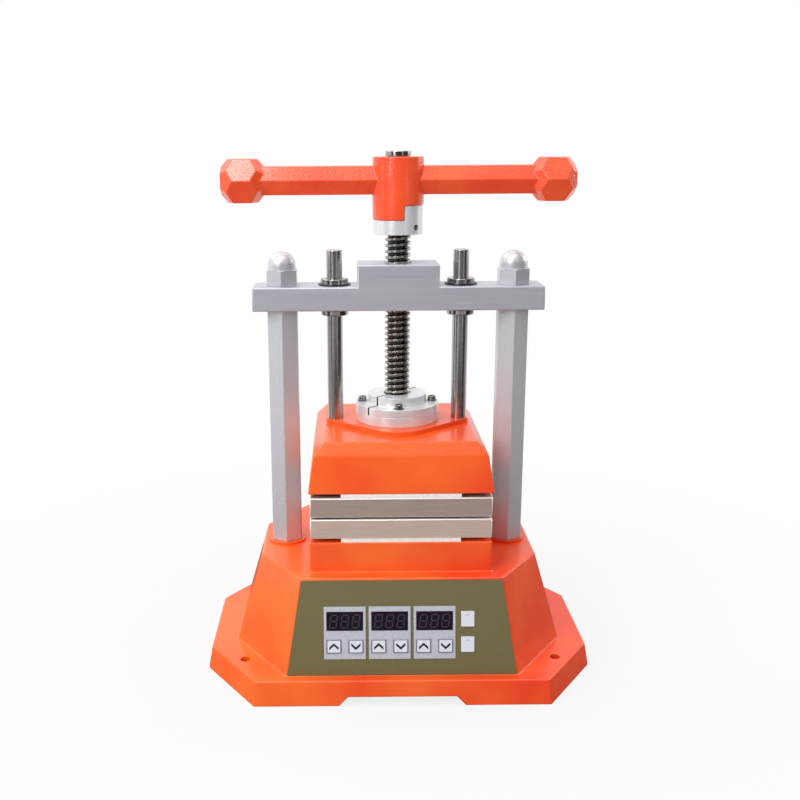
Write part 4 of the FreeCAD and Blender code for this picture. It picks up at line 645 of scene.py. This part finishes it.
screw = bmesh.new()
screw.from_mesh(run_tree(
    thread_tree, bpy.data.meshes.new("start"), Crest=crest / 1000, Core=core / 1000,
    Lead=lead / 1000, Turns=thread_turns, Sides=thread_sides, Flank=flank,
    Bottom=thread_low / 1000 - 2 * lead / 1000, Finish=thread_steel))
round_edges(screw, 0.35, sharper_than=40, steps=2)
for level, side in ((thread_low, -1), (thread_high, 1)):
    everything = screw.verts[:] + screw.edges[:] + screw.faces[:]
    trimmed = bmesh.ops.bisect_plane(screw, geom=everything, plane_co=(0, 0, level / 1000),
                                     plane_no=(0, 0, side), clear_outer=True)
    rim = [item for item in trimmed["geom_cut"] if isinstance(item, bmesh.types.BMEdge)]
    bmesh.ops.edgeloop_fill(screw, edges=rim)
bmesh.ops.recalc_face_normals(screw, faces=screw.faces)
foot = [(0, 257.8), (9.4, 257.8), (9.9, 258.3), (9.9, 265.6), (19.5, 265.6), (20.0, 266.1),
        (20.0, 273.0), (19.5, 273.5), (12.0, 273.5), (12.0, thread_low), (0, thread_low)]
journal = [(0, thread_high), (10.0, thread_high), (10.0, 520.8), (9.5, 521.3), (0, 521.3)]
end_sides = 64
lathe(screw, foot, end_sides)
lathe(screw, journal, end_sides)
fit(smooth_mesh("threaded_lead_screw", screw, [thread_steel]), "screw", "screw_steel",
    "lead_screw")

# Clutch sleeve: turned aluminium ring pinned to the screw. The jaw on its rim drives the
# jaw under the handle's hub.
sleeve = round_edges(merged_copy("clutch_sleeve"), 0.5, longer_than=0.8, sharper_than=50)
fit(smooth_mesh("turned_clutch_sleeve", sleeve, [turned_aluminium]), "screw", "turned_steel",
    "clutch_sleeve")
paint(screw_zinc, "sleeve_pin", "retainer_screw")

# Handle: one iron casting of hub, two hexagonal arms and two bevelled knobs, in a thick
# hammered enamel of the same orange.

# Hammered enamel: pebbled every 2.5 mm, so highlights break up into worms
hammered_enamel, shader, where = new_finish(
    "hammered_enamel", Coat_Weight=0.5, Coat_Roughness=0.12)
drift = noise(where, 40)
tint_by(shader, drift, (0.3, "#EE441A"), (0.7, "#F65620"))
pebbles = noise(where, 2.5, 1.0, 0.8)
gloss_by(shader, pebbles, 0.26, 0.4)
bump_by(shader, pebbles, 0.9, 0.0004)
handle = round_edges(merged_copy("t_handle"), 1.0, longer_than=1.5, sharper_than=22)
fit(smooth_mesh("cast_t_handle", handle, [hammered_enamel]), "handle", "orange_paint",
    "t_handle")

# Retainer: turned disc and countersunk socket screw that hold the handle on the journal.
disc = round_edges(merged_copy("handle_retainer"), 0.6, sharper_than=50)
fit(smooth_mesh("turned_retainer", disc, [ground_steel]), "screw", "turned_steel",
    "handle_retainer")

# Panel overlay: one sheet of printed polyester film glued on the sloping front wall, with
# windows for displays and keys. Its places for words are bare.
wall_run, wall_rise = 16, 96
wall_tilt = math.atan(wall_run / wall_rise)
deck_edge = (0, -0.105, 0.121)
panel = Matrix.Translation(deck_edge) @ Matrix.Rotation(math.pi / 2 - wall_tilt, 4, "X")
overlay_out = 0.8

# Embossed polyester film: olive, matt, grained every 0.9 mm
olive_film, shader, where = new_finish("olive_film", Roughness=0.62)
grain = noise(where, 0.9, 1.0)
tint_by(shader, grain, (0.25, "#6A623C"), (0.75, "#746B43"))
bump_by(shader, grain, 0.15, 0.00004)
paint(olive_film, "panel_overlay")

# Display plates: three silver-lilac printed cards under the keys and display windows.
plate_face = overlay_out + 0.6

# Printed card film: pale lilac grey, satin, faint 2 mm mottle
lilac_card, shader, where = new_finish("lilac_card", Roughness=0.5)
mottle = noise(where, 2)
tint_by(shader, mottle, (0.3, "#B4B4BF"), (0.7, "#C0C0CA"))
plates = round_edges(merged_copy("display_plates"), 0.15, longer_than=10, steps=2)
fit(smooth_mesh("display_cards", plates, [lilac_card]), "frame", "display_plate",
    "display_plates")

# Displays: tinted acrylic windows over three unlit seven-segment digits each.
display_face = plate_face + 0.4
plate_middles = (-56.0, -12.0, 32.0)
display_down = 42.3
digit_pitch, digit_width, digit_tall = 11.0, 6.6, 12.6
segment_length, segment_width, segment_rise = 5.7, 1.15, 0.05
slant = math.radians(8)

# Tinted acrylic: plum black and glossy, with a slow change of depth across 25 mm
tinted_acrylic, shader, where = new_finish("tinted_acrylic", Roughness=0.12)
depth = noise(where, 25, 1.0)
tint_by(shader, depth, (0.3, "#17131F"), (0.7, "#221A28"))
windows = round_edges(merged_copy("display_modules"), 0.2, longer_than=10, steps=2)
fit(smooth_mesh("display_windows", windows, [tinted_acrylic]), "frame", "display_window",
    "display_modules")


def prism(bm, outline, low, high, matrix, index=0):
    """Closed upright solid over an outline in millimetres, with one finish."""
    loops = [[bm.verts.new(matrix @ (Vector((x, y, z)) / 1000)) for x, y in outline]
             for z in (low, high)]
    faces = [bm.faces.new(reversed(loops[0])), bm.faces.new(loops[1])]
    count = len(outline)
    for step in range(count):
        after = (step + 1) % count
        faces.append(bm.faces.new([loops[0][step], loops[0][after],
                                   loops[1][after], loops[1][step]]))
    for face in faces:
        face.material_index = index
    return bm


# Unlit segment: smoky plastic a little paler than the window, dulled in 1 mm spots
smoky_segment, shader, where = new_finish("smoky_segment", Roughness=0.4)
spots = noise(where, 1)
tint_by(shader, spots, (0.3, "#3A303C"), (0.7, "#483C46"))
segment = prism(bmesh.new(), [
    (-segment_length / 2, 0), (-(segment_length - segment_width) / 2, -segment_width / 2),
    ((segment_length - segment_width) / 2, -segment_width / 2), (segment_length / 2, 0),
    ((segment_length - segment_width) / 2, segment_width / 2),
    (-(segment_length - segment_width) / 2, segment_width / 2)], 0, segment_rise, Matrix())
bars = [(0, up * digit_tall / 2, 0) for up in (-1, 0, 1)]
bars += [(side * digit_width / 2, up * digit_tall / 4, math.pi / 2 - slant)
         for side in (-1, 1) for up in (-1, 1)]
segment_spots = []
for middle in plate_middles:
    for place in (-1, 0, 1):
        for across, up, bar_turn in bars:
            spot = Vector((middle + place * digit_pitch + across + up * math.tan(slant),
                           up - display_down, display_face))
            turned_bar = panel @ Matrix.Rotation(bar_turn, 4, "Z")
            segment_spots.append((panel @ (spot / 1000) * 1000, turned_bar.to_euler()))
fit(repeat("unlit_digit_segments", segment, segment_spots, smoky_segment), "frame",
    "display_window")

# Arrow keys: moulded caps that slide in the cards, each with a printed border and a black
# chevron. Up keys stand on the left of each card and down keys on the right.
key_face = plate_face + 0.9
key_offset, key_down = 10.8, 67.3
key_half_width, key_half_tall = 7.1, 6.75
border_inset, border_width, print_rise = 0.1, 0.7, 0.05
chevron_half, chevron_tall, chevron_stroke = 4.6, 7.0, 2.7

# Moulded key: cool white, satin, with 1.5 mm handling blotches
key_white, shader, where = new_finish("key_white", Roughness=0.45)
blotch = noise(where, 1.5)
tint_by(shader, blotch, (0.3, "#D6D7E2"), (0.7, "#E0E1EA"))


def printing_ink(name, dark, light):
    """Screen printing ink: matt, with pinholes and thin spots every 0.5 mm."""
    finish, shader, where = new_finish(name, Roughness=0.6)
    holes = noise(where, 0.5)
    tint_by(shader, holes, (0.3, dark), (0.7, light))
    return finish


border_ink = printing_ink("border_ink", "#454757", "#525464")
black_ink = printing_ink("black_ink", "#101014", "#1A1A1F")
grey_ink = printing_ink("grey_ink", "#84828A", "#96949B")


def border_bars(half_width, half_tall, width):
    """Outlines of the four bars of a rectangular border, just inside its edge."""
    x, y, inner_x, inner_y = half_width, half_tall, half_width - width, half_tall - width
    return [[(-x, inner_y), (x, inner_y), (x, y), (-x, y)],
            [(-x, -y), (x, -y), (x, -inner_y), (-x, -inner_y)],
            [(-x, -inner_y), (-inner_x, -inner_y), (-inner_x, inner_y), (-x, inner_y)],
            [(inner_x, -inner_y), (x, -inner_y), (x, inner_y), (inner_x, inner_y)]]


for number, middle in enumerate(plate_middles, start=1):
    for direction, side in (("up", -1), ("down", 1)):
        key = f"key_{direction}_{number}"
        cap = round_edges(merged_copy(key), 0.3, longer_than=10, steps=2)
        centre = panel @ Matrix.Translation(
            ((middle + side * key_offset) / 1000, -key_down / 1000, key_face / 1000))
        for outline in border_bars(key_half_width - border_inset,
                                   key_half_tall - border_inset, border_width):
            prism(cap, outline, 0, print_rise, centre, 1)
        tip = -side * chevron_tall / 2
        foot = side * chevron_tall / 2
        lift = -side * chevron_stroke
        chevron = [(-chevron_half, foot), (0, tip - lift), (chevron_half, foot),
                   (chevron_half, foot + lift), (0, tip), (-chevron_half, foot + lift)]
        if side > 0:
            chevron.reverse()
        prism(cap, chevron, 0, print_rise, centre, 2)
        fit(smooth_mesh(f"{key}_cap", cap, [key_white, border_ink, black_ink]), key,
            "arrow_key", key)

# Function keys: two plain grey-white caps beside the cards, each with a small printed arc.
function_face = overlay_out + 0.9
function_x, function_first, function_pitch = 64.5, 40.7, 25.4
arc_radius, arc_width, arc_up, arc_steps = 1.9, 0.5, 2.2, 12
for number in (1, 2):
    key = f"function_key_{number}"
    cap = round_edges(merged_copy(key), 0.3, longer_than=10, steps=2)
    down = function_first + (number - 1) * function_pitch
    centre = panel @ Matrix.Translation(
        (function_x / 1000, (arc_up - down) / 1000, function_face / 1000))
    angles = [math.radians(25 + 130 * step / arc_steps) for step in range(arc_steps + 1)]
    arc = [(arc_radius * math.cos(a), arc_radius * math.sin(a)) for a in reversed(angles)]
    outer = arc_radius + arc_width
    arc += [(outer * math.cos(a), outer * math.sin(a)) for a in angles]
    prism(cap, arc, 0, print_rise, centre, 1)
    fit(smooth_mesh(f"{key}_cap", cap, [key_white, grey_ink]), key, "function_key", key)

# Circuit boards behind the panel and on the bottom cover, on brass posts.

# Epoxy laminate: green, with copper tracks 2 mm apart that show through the lacquer
green_laminate, shader, where = new_finish("green_laminate", Roughness=0.3)
tree = shader.id_data
tracks = add_node(tree, "ShaderNodeTexBrick",
                  {"Scale": grains(2), "Mortar Size": 0.12, "Brick Width": 4.0,
                   "Color1": linear("#1B4E2C"), "Color2": linear("#225A33"),
                   "Mortar": linear("#3C7A45")}, {"Vector": where})
tree.links.new(tracks.outputs["Color"], shader.inputs["Base Color"])
paint(green_laminate, "control_board", "relay_board")
paint(turned_bronze, "control_board_posts", "relay_board_posts")

# Mains inlet, switch and cable glands: moulded black nylon and a polycarbonate rocker,
# clipped or screwed in the zinc plated service plate and the head's rear wall.
rear = (Matrix.Translation((0, 0.105, 0.121)) @ Matrix.Rotation(math.pi, 4, "Z")
        @ Matrix.Rotation(math.pi / 2 - wall_tilt, 4, "X"))
service_down, service_out = 66.0, 2.0

# Moulded nylon: black, matt, spark-eroded grain drawn at 0.7 mm
black_nylon, shader, where = new_finish("black_nylon", Roughness=0.55)
grain = noise(where, 0.7)
tint_by(shader, grain, (0.3, "#1C1C1D"), (0.7, "#262627"))
bump_by(shader, grain, 0.25, 0.00005)
for node, name, width, body in (("power_inlet", "moulded_inlet", 0.6, "frame"),
                                ("switch_housing", "moulded_switch_housing", 0.5, "frame"),
                                ("base_cable_gland", "moulded_base_gland", 0.5, "frame"),
                                ("head_cable_gland", "moulded_head_gland", 0.5, "head")):
    part = round_edges(merged_copy(node), width, longer_than=4, sharper_than=50, steps=2)
    fit(smooth_mesh(name, part, [black_nylon]), body, "black_plastic", node)

inlet_x, inlet_screw_x, inlet_face = 48.0, 20.0, service_out + 3.0
screw_spots = [(rear @ (Vector((side * inlet_screw_x - inlet_x, -service_down, inlet_face))
                        / 1000) * 1000, rear.to_euler()) for side in (-1, 1)]
fit(repeat("inlet_screws", socket_screw(2.6, 0.9, 1.0, 1.4, 2.0), screw_spots, screw_zinc),
    "frame", "fastener_steel")

# Blades of the inlet: nickel plated brass tongues, a hair thicker than the moulded core
blade_half_width, blade_half_tall, blade_low, blade_high = 1.06, 2.06, -12.02, 2.1
blade_pitch, blade_shift = 7.0, 2.0
blades = bmesh.new()
for step, rise in ((-1, -1), (0, 1), (1, -1)):
    middle = rear @ Matrix.Translation(((-inlet_x - step * blade_pitch) / 1000,
                                        (rise * blade_shift - service_down) / 1000,
                                        0))
    prism(blades, [(-blade_half_width, -blade_half_tall), (blade_half_width, -blade_half_tall),
                   (blade_half_width, blade_half_tall), (-blade_half_width, blade_half_tall)],
          blade_low, blade_high, middle)
round_edges(blades, 0.3, steps=2)
fit(smooth_mesh("inlet_blades", blades, [satin_nickel]), "frame", "fastener_steel")

# Polycarbonate rocker: glossy black with faint 6 mm flow marks and no print
black_gloss, shader, where = new_finish("black_polycarbonate", Roughness=0.18)
flow = noise(where, 6)
tint_by(shader, flow, (0.3, "#161617"), (0.7, "#212122"))
rocker = round_edges(merged_copy("power_switch_rocker"), 0.6, longer_than=5, sharper_than=50,
                     steps=2)
fit(smooth_mesh("rocker", rocker, [black_gloss]), "switch_rocker", "rocker_plastic",
    "power_switch_rocker")

# Floor and light: white paper sweep on a table, a large soft box to the left, a weaker
# one to the right and one above. The room behind the camera is dark, and black flags
# beside the press draw dark bands in bright metal.
floor_finish = bpy.data.materials.new("paper_sweep")
floor_finish.use_nodes = True
tree = floor_finish.node_tree
paper = tree.nodes["Principled BSDF"]
paper.inputs["Base Color"].default_value = linear("#CDCDCD")
paper.inputs["Roughness"].default_value = 0.9
glow = add_node(tree, "ShaderNodeEmission", {"Color": (1, 1, 1, 1), "Strength": 1.0})
ray = add_node(tree, "ShaderNodeLightPath")
seen = add_node(tree, "ShaderNodeMath", {"operation": "MAXIMUM"},
                {0: ray.outputs["Is Glossy Ray"], 1: ray.outputs["Is Transmission Ray"]})
away = add_node(tree, "ShaderNodeVectorMath", {"operation": "LENGTH"},
                {"Vector": add_node(tree, "ShaderNodeTexCoord").outputs["Object"]})
fade = add_node(tree, "ShaderNodeMapRange", {"From Min": 0.2, "From Max": 0.7,
                                             "To Min": 0.82, "To Max": 1.0},
                {"Value": away.outputs["Value"]})
camera_share = add_node(tree, "ShaderNodeMath", {"operation": "MULTIPLY"},
                        {0: ray.outputs["Is Camera Ray"], 1: fade.outputs["Result"]})
share = add_node(tree, "ShaderNodeMath", {"operation": "MAXIMUM"},
                 {0: seen.outputs["Value"], 1: camera_share.outputs["Value"]})
mixed = add_node(tree, "ShaderNodeMixShader", {}, {0: share.outputs["Value"],
                                                   1: paper.outputs["BSDF"],
                                                   2: glow.outputs["Emission"]})
tree.links.new(mixed.outputs["Shader"], tree.nodes["Material Output"].inputs["Surface"])


def stage_card(name, corners, finish):
    """Flat card of four corners in metres that isn't part of the press."""
    mesh = bpy.data.meshes.new(name)
    mesh.from_pydata(corners, [], [(0, 1, 2, 3)])
    mesh.materials.append(finish)
    card = bpy.data.objects.new(name, mesh)
    bpy.context.scene.collection.objects.link(card)
    return card


floor_half = 6.0
stage_card("floor", [(-floor_half, -floor_half, 0), (floor_half, -floor_half, 0),
                     (floor_half, floor_half, 0), (-floor_half, floor_half, 0)], floor_finish)

flag_finish = bpy.data.materials.new("black_flag")
flag_finish.use_nodes = True
flag_finish.node_tree.nodes["Principled BSDF"].inputs["Base Color"].default_value = (
    linear("#1A1A1A"))
flags = []
for name, x_near, y_near, x_far, y_far, top in (
        ("dark_room", -1.1, -2.4, 1.6, -2.4, 1.9), ("flag_left", -0.75, -0.9, -0.95, -0.4, 1.9),
        ("flag_right", 0.85, -1.0, 1.05, 0.2, 1.9)):
    flag = stage_card(name, [(x_near, y_near, 0.0), (x_far, y_far, 0.0),
                             (x_far, y_far, top), (x_near, y_near, top)], flag_finish)
    flags.append(flag)
flags.append(stage_card("dark_floor", [(-0.7, -1.7, 0.0004), (0.9, -1.7, 0.0004),
                                       (0.9, 0.3, 0.0004), (-0.7, 0.3, 0.0004)], flag_finish))
for flag in flags:
    flag.visible_camera = False
    flag.visible_diffuse = False
    flag.visible_shadow = False
    flag.visible_transmission = False

for name, place, target, size, power in (
        ("soft_box_left", (-1.2, -1.1, 1.4), (0, 0, 0.25), 1.2, 21.0),
        ("soft_box_front", (-0.33, -0.64, 1.53), (-0.155, 0, 0.5), 0.2, 2.2),
        ("strip_left", (-0.67, -0.81, 0.6), (0, 0, 0.5), 0.16, 0.5),
        ("strip_right", (1.1, 0.33, 0.65), (0, 0, 0.5), 0.2, 0.8),
        ("soft_box_right", (1.4, -0.9, 0.9), (0, 0, 0.25), 1.0, 2.0),
        ("soft_box_top", (0.0, 0.1, 1.9), (0, 0, 0.3), 1.2, 13.0),
        ("soft_box_back_left", (-0.95, 0.5, 1.45), (-0.1, 0, 0.45), 0.5, 5.0),
        ("soft_box_back_right", (1.05, 0.38, 0.85), (0.15, 0, 0.5), 0.3, 1.5)):
    light = bpy.data.lights.new(name, "AREA")
    light.size = size
    light.energy = power
    holder = bpy.data.objects.new(name, light)
    holder.location = place
    aim = Vector(target) - Vector(place)
    holder.rotation_euler = aim.to_track_quat("-Z", "Y").to_euler()
    bpy.context.scene.collection.objects.link(holder)

world = bpy.data.worlds.new("white_studio")
world.use_nodes = True
bpy.context.scene.world = world
tree = world.node_tree
sky = tree.nodes["Background"]
sky.inputs["Color"].default_value = linear("#F7F8FA")
sky.inputs["Strength"].default_value = 0.55
white = add_node(tree, "ShaderNodeBackground", {"Color": (1, 1, 1, 1), "Strength": 1.0})
ray = add_node(tree, "ShaderNodeLightPath")
seen = add_node(tree, "ShaderNodeMath", {"operation": "MAXIMUM"},
                {0: ray.outputs["Is Glossy Ray"], 1: ray.outputs["Is Transmission Ray"]})
share = add_node(tree, "ShaderNodeMath", {"operation": "MAXIMUM"},
                 {0: seen.outputs["Value"], 1: ray.outputs["Is Camera Ray"]})
mixed = add_node(tree, "ShaderNodeMixShader", {}, {0: share.outputs["Value"],
                                                   1: sky.outputs["Background"],
                                                   2: white.outputs["Background"]})
tree.links.new(mixed.outputs["Shader"], tree.nodes["World Output"].inputs["Surface"])
